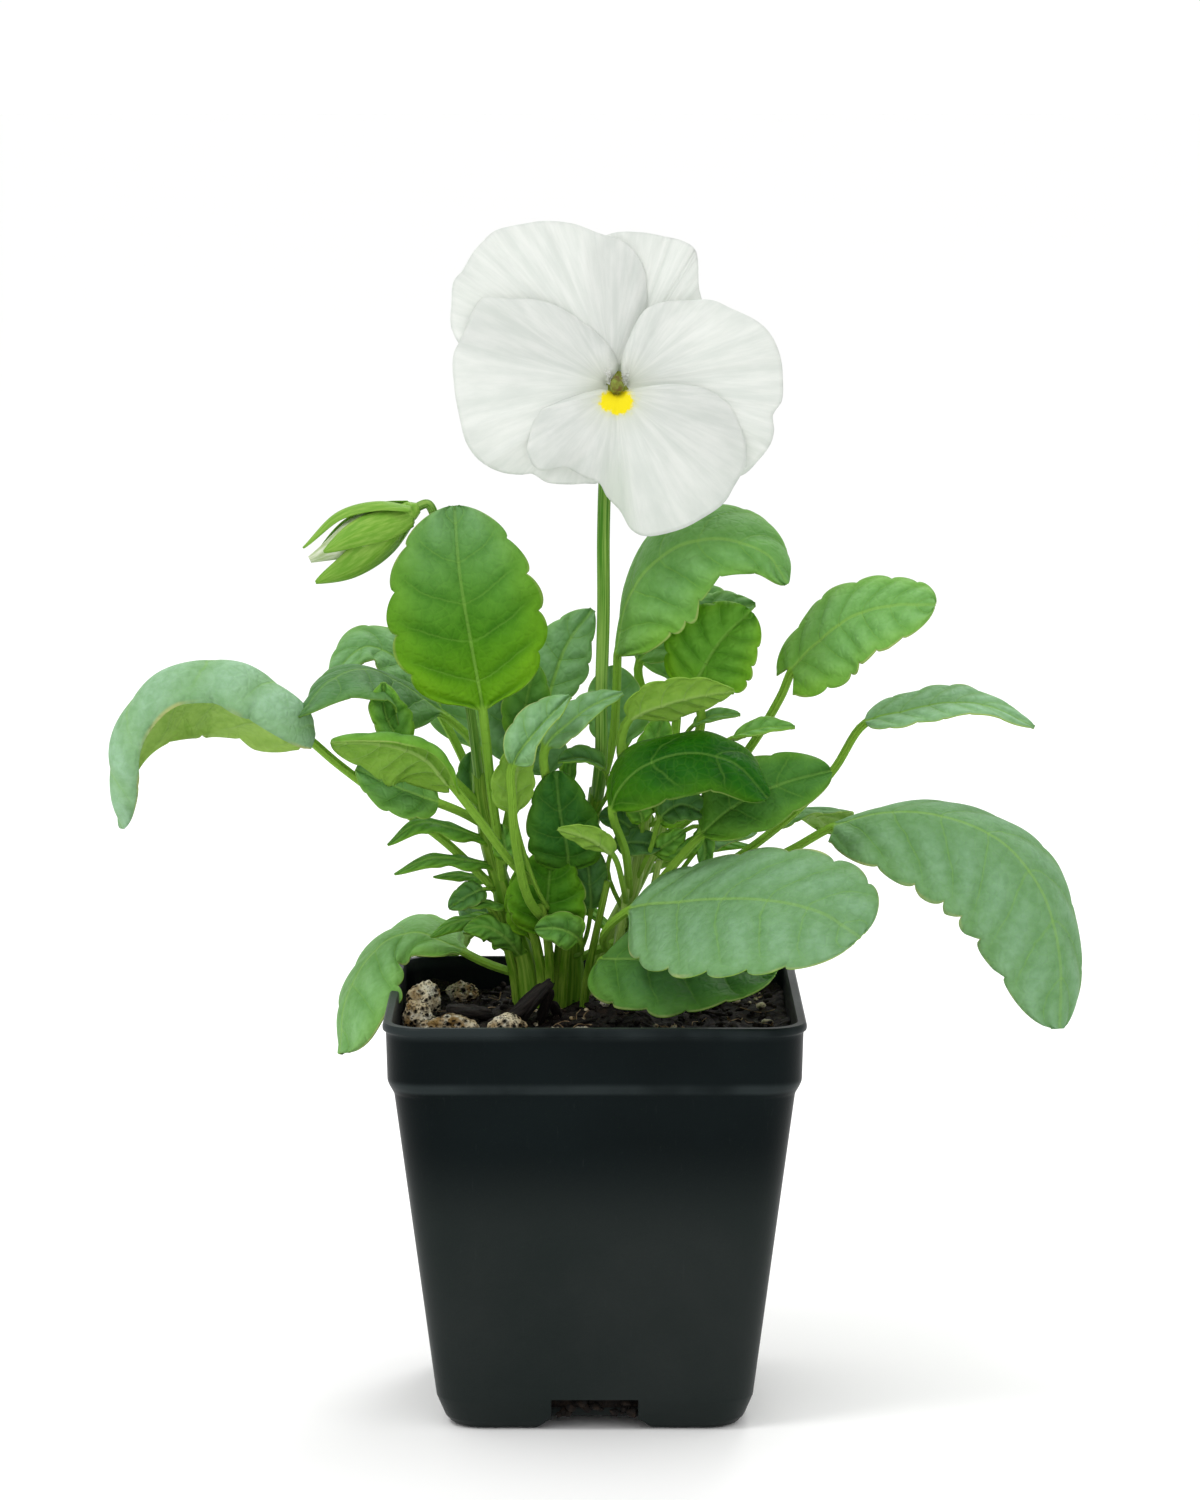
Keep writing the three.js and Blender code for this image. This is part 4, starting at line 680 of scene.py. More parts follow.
def arch_rings(turned):
    """The raised channel between the feet, lengthwise through the pot."""
    top = NOTCH_WIDTH / 2 + 0.4
    outline = [
        (-FOOT_REACH - 1.5, -1), (FOOT_REACH + 1.5, -1), (FOOT_REACH - 0.9, 0.12), (FOOT_REACH - 2.2, 0.8),
        (top + 0.9, FOOT_HEIGHT - 0.45), (top, FOOT_HEIGHT), (-top, FOOT_HEIGHT),
        (-top - 0.9, FOOT_HEIGHT - 0.45), (2.2 - FOOT_REACH, 0.8), (0.9 - FOOT_REACH, 0.12),
    ]
    ends = (RIM_WIDTH / 2, -RIM_WIDTH / 2)
    rings = [[(x, y, z) for x, z in outline] for y in ends]
    return [[(-y, x, z) for x, y, z in ring] for ring in rings] if turned else rings


def make_pot():
    """The pot's outside, with its hollow, the channels below and the four notches cut out."""
    whole = raw_block("pot_outside", [square_ring(*level) for level in pot_outside()])
    tools = [
        raw_block("hollow", [square_ring(*level) for level in pot_hollow()]),
        raw_block("arch", arch_rings(False)),
        raw_block("arch_turned", arch_rings(True)),
    ]
    tools += [raw_block(f"notch_{quarter}", notch_rings(quarter)) for quarter in range(4)]
    for tool in tools:
        cut = whole.modifiers.new(tool.name, "BOOLEAN")
        cut.operation = "DIFFERENCE"
        cut.solver = "EXACT"
        cut.object = tool
    shape = whole.evaluated_get(bpy.context.evaluated_depsgraph_get()).to_mesh()
    points = [tuple(v.co) for v in shape.vertices]
    faces = [list(p.vertices) for p in shape.polygons]
    for block in (whole, *tools):
        bpy.data.objects.remove(block)
    piece("nursery_pot", [Skin(points, faces)], [POT_SKIN], "pot", sharp=32)


# ------------------------------------------------------------------ mix, stones, bark

MOUND_HEIGHT = 2.2              # how far the mix rises towards the crown
MOUND_REACH = 30
BUMP_HEIGHT = 0.7
CRUMB_HEIGHT = 0.95
CLOD_HEIGHT = 0.35
SOIL_RINGS = 46                 # rings of points from the wall to the middle
SOIL_STEPS = 20                 # points along each side and each corner of a ring


def soil_height(x, y):
    mound = MOUND_HEIGHT * math.exp(-(math.hypot(x, y) / MOUND_REACH) ** 2)
    bumps = math.sin(x * 0.31 + y * 0.17) + math.sin(y * 0.37 - x * 0.23 + 1.3)
    return SOIL_LEVEL + mound + BUMP_HEIGHT * bumps


def crumbled(x, y):
    """The mix's surface, with its crumbs and hollows."""
    rough = noise.fractal(Vector((x * 0.32, y * 0.32, 4.0)), 1.0, 2.2, 5)
    clods = noise.cell(Vector((x * 0.5, y * 0.5, 2.0))) - 0.5
    return soil_height(x, y) + CRUMB_HEIGHT * rough + CLOD_HEIGHT * clods


def make_soil():
    walls = cavity_levels(SEAT_GAP)[:-1]
    rings = [square_ring(*level, steps=SOIL_STEPS) for level in walls]
    width, corner, _ = walls[-1]
    for k in range(SOIL_RINGS):
        share = 1 - k / SOIL_RINGS
        ring = square_ring((width + 0.3) * share, max(corner * share, 0.02), 0, steps=SOIL_STEPS)
        rings.append([(x, y, crumbled(x, y)) for x, y, _ in ring])
    piece("potting_mix", [loft(rings)], [MIX_SKIN], "soil")


def pebble(at, size, seed, turn, rough, detail):
    """A lumpy stone: a fine ball pushed in and out by noise."""
    ball = bmesh.new()
    bmesh.ops.create_icosphere(ball, subdivisions=detail, radius=1)
    c, s = math.cos(turn), math.sin(turn)
    points = []
    for v in ball.verts:
        d = v.co.normalized()
        lump = noise.noise(d * 1.3 + Vector((seed, 0, 0))) * 1.4
        pits = noise.noise(d * 5.0 + Vector((0, seed, 0))) * 0.5
        push = 1 + rough * (lump + pits)
        x, y, z = (d[k] * size[k] / 2 * push for k in range(3))
        points.append((at[0] + c * x - s * y, at[1] + s * x + c * y, at[2] + z))
    faces = [[v.index for v in f.verts] for f in ball.faces]
    ball.free()
    return Skin(points, faces)


# Node, place, size, turn in degrees and seed.
STONES = [
    ("pumice_left_rear", (-40, 0, 94), (8, 8, 8), 20, 11),
    ("pumice_left", (-41, -17, 92.6), (7, 6, 8), -10, 12),
    ("pumice_rear", (-31.5, 20, 92), (7, 6, 5), 0, 13),
    ("pumice_front_left", (-33, -28, 91.9), (13, 7.5, 7.5), 8, 14),
    ("pumice_front", (-20, -30, 93), (8.5, 7, 6), 30, 15),
    ("grit_front", (-2.5, -30, 91), (6.5, 5, 4), 0, 16),
    ("grit_right", (29, -36, 90.5), (5, 4, 4), 40, 17),
]


def make_stones():
    for name, at, size, turn, seed in STONES:
        stone = pebble(at, size, seed, math.radians(turn), 0.22, 5)
        piece("pitted_" + name, [stone], [PUMICE_SKIN], name)


# Node, place, size, tilt and turn in degrees.
CHIPS = [
    ("bark_leaning", (-15, -14, 96), (14, 5, 2.2), (20, -42), -12),
    ("bark_left", (-29, -8, 92.5), (12, 6, 2.4), (12, 10), 35),
    ("bark_right", (20, 24, 91.5), (13, 6, 2.4), (-8, 6), -30),
]


def turn_matrix(tilt, turn):
    """Turns about X, then Y, then Z, in degrees."""
    ax, ay, az = (math.radians(value) for value in (*tilt, turn))
    rx = np.array([[1, 0, 0], [0, math.cos(ax), -math.sin(ax)], [0, math.sin(ax), math.cos(ax)]])
    ry = np.array([[math.cos(ay), 0, math.sin(ay)], [0, 1, 0], [-math.sin(ay), 0, math.cos(ay)]])
    rz = np.array([[math.cos(az), -math.sin(az), 0], [math.sin(az), math.cos(az), 0], [0, 0, 1]])
    return rz @ ry @ rx


def splinter(at, size, tilt, turn, seed, rows=30, sides=28):
    """A flat chip with uneven ends and fibres along it."""
    length, width, thick = (value / 2 for value in size)
    matrix = turn_matrix(tilt, turn)
    rings = []
    for i in range(rows + 1):
        x = -1 + 2 * i / rows
        end = max(1 - abs(x) ** 6, 0.02) ** 0.5
        ring = []
        for angle in around(sides):
            c, s = math.cos(angle), math.sin(angle)
            y = math.copysign(abs(c) ** 0.6, c)
            z = math.copysign(abs(s) ** 0.8, s)
            fibre = noise.noise(Vector((x * 1.6, y * 5 + seed, z * 3)))
            skew = 0.1 * noise.noise(Vector((seed, y * 2.5, 0)))
            local = (
                (x + skew * (1 if x > 0 else -1)) * length,
                y * width * end * (0.95 + 0.16 * fibre),
                z * thick * (0.6 + 0.4 * end) * (0.95 + 0.45 * fibre),
            )
            ring.append(np.array(at) + matrix @ np.array(local))
        rings.append(ring)
    return loft(rings, section_lay(sides, rows))


def make_bark():
    for seed, (name, at, size, tilt, turn) in enumerate(CHIPS):
        piece("fibrous_" + name, [splinter(at, size, tilt, turn, seed * 7.3)], [BARK_SKIN], name)


LOOSE_CORNER = 6                # the round corner of the field where loose bits lie
CRUMB_COUNT = 620
GRIT_COUNT = 75
SLIVER_COUNT = 90
FIBRE_COUNT = 60
NOTCH_CRUMBS = 16               # behind each drainage notch


def inside_pot(x, y, margin=3.0):
    half = COLLAR_WIDTH / 2 - WALL - margin
    past = [max(abs(v) - half + LOOSE_CORNER, 0) for v in (x, y)]
    return abs(x) < half and abs(y) < half and math.hypot(*past) < LOOSE_CORNER


def scatter(draw, count):
    """Places on the mix, drawn one by one."""
    while count:
        x, y = draw.uniform(-45, 45), draw.uniform(-45, 45)
        if inside_pot(x, y):
            count -= 1
            yield x, y


# Slivers that lie against the leaning bark: place, size, tilt, turn.
SPLINTERS = [
    ((-17.5, -15.5, 93.8), (11, 2.6, 1.4), (35, -30), 12),
    ((-14, -16, 95.2), (12, 2.2, 1.2), (10, -50), -30),
    ((-11.5, -14.5, 95), (10, 2.6, 1.3), (-15, -58), -60),
    ((-16, -12.5, 95.5), (12, 3, 1.6), (50, -44), 4),
    ((-9, -12, 93.6), (9, 2.4, 1.3), (5, -35), -100),
    ((-20, -14, 92.6), (10, 3.2, 1.6), (0, -14), 25),
]


def loose_stone(draw, at, shape, rough, detail):
    return pebble(at, shape, draw.random() * 90, draw.random() * 6, rough, detail)


def root_line(draw, x, y):
    """The bent line of a root fibre that lies on the mix."""
    heading, bend, run = draw.uniform(0, 2 * math.pi), draw.uniform(-1.2, 1.2), draw.uniform(4, 11)
    points = []
    for k in range(5):
        angle, reach = heading + bend * k / 4, run * (k / 4 - 0.5)
        px, py = x + reach * math.cos(angle), y + reach * math.sin(angle)
        points.append((px, py, crumbled(px, py) + 0.5 + draw.uniform(-0.2, 0.7)))
    return points


def notch_crumbs(draw):
    """Crumbs of mix that show behind the four drainage notches."""
    for quarter in range(4):
        for _ in range(NOTCH_CRUMBS):
            x, y = draw.uniform(-9, 9), -BODY_FOOT_WIDTH / 2 + draw.uniform(2.4, 3.6)
            for _ in range(quarter):
                x, y = -y, x
            size = draw.uniform(1.4, 2.8)
            at = (x, y, draw.uniform(3.4, 6.8))
            yield pebble(at, (size, size, size * 0.8), draw.random() * 90, 0, 0.3, 2)


def make_litter():
    """What lies loose on the mix: crumbs, grit, slivers of bark and root fibres."""
    draw = random.Random(5)
    crumbs, grit, slivers, fibres = [], [], [], []
    for x, y in scatter(draw, CRUMB_COUNT):
        size = draw.uniform(0.8, 2.4)
        shape = (size, size * draw.uniform(0.6, 1), size * draw.uniform(0.5, 0.9))
        crumbs.append(loose_stone(draw, (x, y, crumbled(x, y) + size * 0.15), shape, 0.3, 2))
    for x, y in scatter(draw, GRIT_COUNT):
        size = draw.uniform(0.9, 2.6)
        shape = (size * 1.2, size, size * 0.8)
        grit.append(loose_stone(draw, (x, y, crumbled(x, y) + size * 0.2), shape, 0.25, 3))
    for x, y in scatter(draw, SLIVER_COUNT):
        size = (draw.uniform(3, 8), draw.uniform(0.8, 2.2), draw.uniform(0.4, 0.9))
        tilt = (draw.uniform(-25, 25), draw.uniform(-18, 18))
        at = (x, y, crumbled(x, y) + 0.5)
        slivers.append(splinter(at, size, tilt, draw.uniform(0, 360), draw.random() * 50, 10, 10))
    for x, y in scatter(draw, FIBRE_COUNT):
        line = root_line(draw, x, y)
        if all(inside_pot(px, py, 2) for px, py, _ in line):
            fibres.append(tube(line, [0.14, 0.1], 5, 14))
    for row in SPLINTERS:
        slivers.append(splinter(*row, draw.random() * 50, 16, 14))
    crumbs.extend(notch_crumbs(draw))
    piece("mix_crumbs", crumbs, [MIX_SKIN], None)
    piece("mix_grit", grit, [PUMICE_SKIN], None)
    piece("mix_bark_slivers", slivers, [BARK_SKIN], None)
    piece("mix_root_fibres", fibres, [ROOT_SKIN], None)


# ---------------------------------------------------------------------- stems, stalks

def tube(route, radii, sides, steps, ridges=0, ridge_depth=0.0):
    """A tube along a smooth route, with its radii spread evenly and ridges along it."""
    curve = Route(route)
    across = np.array([0.0, 1.0, 0.0])
    rings = []
    for i in range(steps + 1):
        t = i / steps
        _, other, across = curve.axes(t, across)
        place = t * (len(radii) - 1)
        k = min(int(place), len(radii) - 2)
        radius = mix(radii[k], radii[k + 1], smooth(place - k, 0, 1))
        ridged = [radius * (1 + ridge_depth * math.cos(ridges * angle)) for angle in around(sides)]
        rings.append(section(curve.at(t), across, other, ridged))
    return loft(rings, section_lay(sides, steps))


def spindle(start, end, radii, sides=24, steps=24, twist=0.0, folds=0, fold_depth=0.0):
    """A turned body along a line, from radii at even steps."""
    start, line = np.array(start, float), np.array(end, float) - np.array(start, float)
    across = unit(np.array([0, 0, 1.0]) - line * line[2] / line.dot(line))
    other = unit(np.cross(line, across))
    profile = Route([(k, r, 0) for k, r in enumerate(radii)])
    rings = []
    for i in range(steps + 1):
        t = i / steps
        radius = max(profile.at(t)[1], 0.05)
        folded = [radius * (1 + fold_depth * math.sin(folds * angle + twist * t)) for angle in around(sides)]
        rings.append(section(start + line * t, across, other, folded))
    return loft(rings, section_lay(sides, steps))


# Each leafy stem's route and its radii, from below the mix to the tip.
STEMS = {
    "left": (
        [(-15, 8, 82), (-15.5, 8, 94), (-17, 8, 103), (-19.5, 7, 111), (-21.5, 5, 119), (-23.5, 4, 126),
         (-25, 3, 133), (-26.5, 3, 141), (-27, 3, 147)],
        [2.6, 2.8, 2.6, 2.8, 2.2, 2.3, 1.8, 1.7]),
    "middle": (
        [(-6, 13, 82), (-5, 13, 95), (-5, 12, 106), (-4, 10, 116), (-2.5, 8, 126), (-0.5, 6, 136),
         (0.5, 5, 143)],
        [2.2, 2.3, 2.1, 2.2, 1.8, 1.8]),
    "right": (
        [(4, 8, 82), (5, 8, 96), (6, 7, 105), (7, 6, 113), (9, 4, 120), (11, 3, 131), (12, 2, 138),
         (13, 2, 143)],
        [1.8, 1.8, 1.6, 1.7, 1.5, 1.5]),
    "back": (
        [(-1, 23, 82), (0, 22, 96), (4, 21, 107), (10, 19, 119), (15, 17, 131), (17, 16, 141),
         (18, 15, 149)],
        [2.0, 2.0, 1.8, 1.9, 1.6, 1.6]),
}

# Leaf stalks cut short among the crown's leaves: route and thickness.
CROWN_STALKS = {
    "left": [
        ([(-13, 7, 84), (-12.4, 5, 97), (-14, 2, 108), (-17, -1, 118)], [1.3, 1.1]),
        ([(-11.3, 8, 84), (-10.6, 4, 98), (-11, 0, 108), (-12.5, -2, 117)], [1.2, 1.0]),
        ([(-18, 9, 84), (-18.8, 7, 96), (-21, 4, 107), (-25, 1, 117)], [1.1, 0.9]),
    ],
    "middle": [
        ([(-8, 10, 84), (-7.6, 6, 97), (-6.5, 2, 108), (-4.5, 1, 118)], [1.3, 1.0]),
        ([(-9.7, 9, 84), (-9.2, 6, 98), (-8, 3, 110), (-7.5, 1, 120)], [1.1, 0.9]),
        ([(-3, 11, 84), (-2, 6, 97), (0, 2, 108), (3, 0, 122)], [1.1, 0.8]),
    ],
    "right": [
        ([(6.5, 9, 84), (9, 5, 98), (12, 2, 112), (15, 0, 127)], [1.0, 0.8]),
        ([(2.5, 8, 84), (3.5, 4, 98), (6.5, 1, 112), (8, 0, 129)], [1.0, 0.8]),
    ],
    "back": [],
}

# Route, width, and the ways that the blade faces at its base and at its tip.
STIPULES = {
    "left": [
        ([(-24.5, 3, 131), (-32, -3, 134.5), (-40.5, -6, 136.5), (-48, -7, 131.5)], 7,
         [(0.3, -0.5, 0.8), (-0.4, -0.6, 0.8)]),
        ([(-23.3, 4, 125), (-29.5, -2, 127), (-38, -5, 128), (-46.5, -6, 124.5)], 6,
         [(0.3, -0.5, 0.8), (-0.4, -0.6, 0.8)]),
        ([(-22, 6, 121), (-27, 8, 121.5), (-32.5, 9, 122), (-38, 9, 121.5)], 4,
         [(0, -0.5, 0.8), (-0.2, -0.6, 0.8)]),
        ([(-20.5, 7, 115), (-23, 1, 116.5), (-28, -2, 117.5), (-33, -3, 117)], 5,
         [(0, -0.5, 0.8), (-0.2, -0.6, 0.8)]),
        ([(-19.5, 7, 111), (-27, 7, 112), (-33, 6, 111), (-38.5, 4, 108)], 5.5,
         [(0, -0.6, 0.8), (-0.2, -0.7, 0.7)]),
        ([(-17, 7, 102), (-20.5, 1, 108), (-25.5, -2, 111.5), (-30.5, -3, 111)], 8,
         [(-0.3, -0.9, 0.4), (-0.2, -0.9, 0.4)]),
    ],
    "middle": [
        ([(-4.5, 12, 110), (-11, 16, 115), (-15, 19, 120), (-17, 21, 126)], 4.5,
         [(0.3, -0.9, 0.3), (0.2, -0.9, 0.2)]),
        ([(-0.5, 6, 135), (-5, 1, 141), (-6, -1, 148), (-4, -2, 154)], 4.5,
         [(0.3, -0.9, 0.3), (0.2, -0.9, 0.2)]),
    ],
    "right": [
        ([(11.5, 2, 138), (16, -1, 141), (21, -2, 144), (25, -3, 144)], 6, [(0, -0.7, 0.7), (0, -0.7, 0.7)]),
        ([(10.5, 3, 130), (17, -1, 129), (22.5, -3, 131), (26, -4, 135)], 4.5,
         [(0, -0.8, 0.5), (0.2, -0.8, 0.4)]),
    ],
    "back": [
        ([(13, 18, 125), (21, 20, 127), (29, 21, 128), (37, 22, 127)], 7, [(0, -0.4, 0.9), (0.2, -0.4, 0.9)]),
        ([(4, 21, 107), (-3, 27, 113), (-9, 31, 120), (-12, 34, 128)], 6,
         [(0.3, -0.6, 0.6), (0.3, -0.6, 0.5)]),
    ],
}


NARROW_ROWS = 36
NARROW_COLS = 11


def narrow_blade(route, width, faces, lobes=0, thick=0.4, base=0.12, drop=0.25):
    """A narrow pointed blade: a sepal, or a stipule with lobes near its base."""
    curve = Route(route)
    front = np.zeros((NARROW_ROWS, NARROW_COLS, 3))
    back, uv = np.zeros_like(front), np.zeros((NARROW_ROWS, NARROW_COLS, 2))
    for i, share in enumerate(np.linspace(0, 1, NARROW_ROWS)):
        _, side, up = curve.axes(share, mix(unit(faces[0]), unit(faces[1]), share))
        half = max(width / 2 * math.sin(math.pi * (base + (0.985 - base) * share)) ** 0.8, 0.22)
        cut = 1.0
        if lobes:
            cut -= 0.45 * abs(math.sin(math.pi * lobes * share)) ** 3 * (1 - smooth(share, 0.5, 0.8))
        for j, x in enumerate(np.linspace(-1, 1, NARROW_COLS)):
            reach = x * half * mix(1, cut, abs(x) ** 3)
            rib = 0.25 * math.exp(-(x * half / 0.5) ** 2) * (1 - share)
            point = curve.at(share) + side * reach - up * (drop * abs(x) ** 1.6 * half)
            edge = thick / 2 * (1 - 0.5 * abs(x) ** 4)
            front[i, j] = point + up * (edge - rib * 0.5)
            back[i, j] = point - up * (edge + rib)
            uv[i, j] = ((x + 1) / 2, share)
    return sheet(front, back, uv, span=width / 2, teeth=6.0, young=0.6, frost=0.15, blade=1.0)


# ----------------------------------------------------------------------------- leaves

# The outline's half-width along the blade is sin(pi * s^skew)^fullness.
OVATE = (0.8, 0.47)
ROUND = (0.85, 0.42)
LOBED = (0.62, 0.5)
LANCE = (0.8, 0.62)

TOOTH_DEPTH = 0.11
LOBE_FADE = 4                   # how fast the base lobes' sweep fades towards the tip
QUILT = 0.85                    # mm that a 30 mm wide blade swells between its veins
COLS = 31                       # points across a blade
ROWS_PER_TOOTH = 16


def leaf_rows(curve, blade_from, teeth):
    """For each row of points: its place on the route, its place on the blade; and the stalk's rows."""
    start = blade_from / (len(curve.points) - 1)
    length = float(np.linalg.norm(curve.at(0) - curve.at(start)))
    stalk_rows = max(8, int(length / 2))
    on_blade = np.append(np.linspace(0, 1, ROWS_PER_TOOTH * teeth + 1)[:-1], [0.993, 0.998, 1])
    t = np.concatenate([start * np.arange(stalk_rows) / stalk_rows, start + (1 - start) * on_blade])
    return t, np.concatenate([np.zeros(stalk_rows), on_blade]), stalk_rows


def blade_outline(s, width, teeth, shape, stalk):
    """Half the blade's width along it, and how deep the notches are there."""
    skew, fullness = shape
    inside = np.clip(s, 0.006, 0.998)
    half = np.maximum(stalk * 0.8, width / 2 * np.sin(np.pi * inside ** skew) ** fullness)
    tooth = (s * teeth - NOTCH_PHASE) % 1.0
    notch = (1 - np.abs(np.sin(np.pi * tooth ** 0.85)) ** 0.55) * smooth(s, 0.0, 0.1)
    return half, notch


def blade_bend(q, fold, roll):
    """Each half's chord, direction and slope, as it folds up at the midrib and rolls to its margin."""
    folded = np.radians(np.where(q < 0, *fold))
    turn = np.radians(np.where(q < 0, *roll)) * np.abs(q)
    straight = np.abs(turn) < 1e-6
    chord = np.where(straight, 1.0, np.sin(turn / 2) / np.where(straight, 1, turn / 2))
    return chord, folded + turn / 2, folded + turn


def swing(s, q, count, phases):
    """A wave along the blade, with a phase of its own in each half."""
    left, right = (math.sin(2 * math.pi * count * s + phase) for phase in phases)
    return np.where(q < 0, left, right)


def blade_faces(height, s, aq, off, vein, stalk):
    """How far the upper and the under side stand from the blade's bent plane."""
    groove = 0.3 * np.exp(-(off / 0.8) ** 2)
    rib = (0.2 + stalk * 0.95 * (1 - s) ** 1.2) * np.exp(-(off / (0.5 + 0.7 * (1 - s))) ** 2)
    ridge = 0.14 * np.exp(-(vein / 0.07) ** 2) * (1 - aq)
    edge = BLADE_THICKNESS / 2 * (1 - 0.45 * aq ** 6)
    return (height + edge - groove - ridge * 0.6)[:, None], (height - edge - rib - ridge)[:, None]


def leaf_skin(route, blade_from, width, faces, fold=(8, 8), roll=(-10, -10), halves=(1, 1),
              slim_tip=(0, 0), lobe=0, teeth=5, shape=OVATE, stalk=1.1, young=0.3, frost=0.3,
              tip_frost=0.0, crinkle=1.0, seed=0):
    """One leaf: a channelled stalk that widens into a toothed, veined blade.

    Each pair gives its two halves: how steeply they fold up from the midrib, how far they roll
    to the margin, how wide they are, and by how much they narrow at the tip. A lobe sweeps the
    blade's base back along the stalk.
    """
    draw = random.Random(seed)
    phases = [draw.uniform(0, 2 * math.pi) for _ in range(4)]
    slow, quick = draw.uniform(1.6, 2.6), draw.uniform(3.2, 4.6)
    curve = Route(route)
    facing = Route([unit(face) for face in faces])
    t_all, s_all, stalk_rows = leaf_rows(curve, blade_from, teeth)
    half, notch = blade_outline(s_all, width, teeth, shape, stalk)
    half[:stalk_rows] = stalk * 0.8
    blade = np.maximum(smooth(half, stalk * 0.8, stalk * 3.2), smooth(s_all, 0.02, 0.12))

    spread = np.linspace(-1, 1, COLS)
    q = np.sign(spread) * np.abs(spread) ** 1.2
    aq = np.abs(q)
    chord, bend, slope = blade_bend(q, fold, roll)
    size = width / 30
    # the stalk's section: round below, with a channel above
    angle = math.pi * (1 - (np.arange(COLS) + 0.5) / COLS)
    ring_side, ring_up = stalk * np.cos(angle), stalk * np.sin(angle)

    front = np.zeros((len(s_all), COLS, 3))
    back, uv = np.zeros_like(front), np.zeros((len(s_all), COLS, 2))
    for i, (t, s) in enumerate(zip(t_all, s_all)):
        centre = curve.at(t)
        along, side, up = curve.axes(t, facing.at(s))
        slim = 1 - np.where(q < 0, *slim_tip) * smooth(s, 0.35, 0.85)
        reach = aq * half[i] * np.where(q < 0, *halves) * slim * chord
        reach = reach * (1 - TOOTH_DEPTH * notch[i] * aq ** 5)
        sideways = np.outer(np.sign(q) * reach * np.cos(bend), side)
        point = centre + sideways + np.outer(reach * np.sin(bend), up)
        point = point - np.outer(lobe * q * q * (1 - s) ** LOBE_FADE, along)
        normal = np.outer(np.cos(slope), up) - np.outer(np.sign(q) * np.sin(slope), side)

        phase = (s + VEIN_SLANT * (1 - aq ** 1.3)) * teeth - 0.5 - NOTCH_PHASE
        vein = np.abs(phase - np.round(phase))
        quilt = QUILT * size * np.sin(np.pi * vein) * aq ** 0.5 * (1 - aq ** 5)
        waves = 0.55 * swing(s, q, slow, phases[:2]) + 0.3 * swing(s, q, quick, phases[2:])
        height = crinkle * (quilt + math.sin(math.pi * s) ** 0.5 * aq ** 2.4 * size * waves)
        above, below = blade_faces(height, s, aq, aq * half[i], vein, stalk)

        round_upper = centre + np.outer(ring_side, side) + np.outer(ring_up * 0.75, up)
        round_lower = centre + np.outer(ring_side, side) - np.outer(ring_up, up)
        front[i] = mix(round_upper, point + normal * above, blade[i])
        back[i] = mix(round_lower, point + normal * below, blade[i])
        uv[i, :, 0] = (q + 1) / 2
        uv[i, :, 1] = s
    # greyer towards the tip: partly a frosted bloom, partly painted sheen
    frost_and_sheen_by_row = (frost + tip_frost * s_all ** 3)[:, None]
    return sheet(front, back, uv, span=half[:, None], teeth=float(teeth), young=young, frost=frost_and_sheen_by_row,
                 blade=blade[:, None])


def leaf(name, route, blade_from, width, faces, **rest):
    """A leaf's row: its route, which of its points the blade begins at, and the ways the blade faces."""
    return name, dict(route=route, blade_from=blade_from, width=width, faces=faces, **rest)


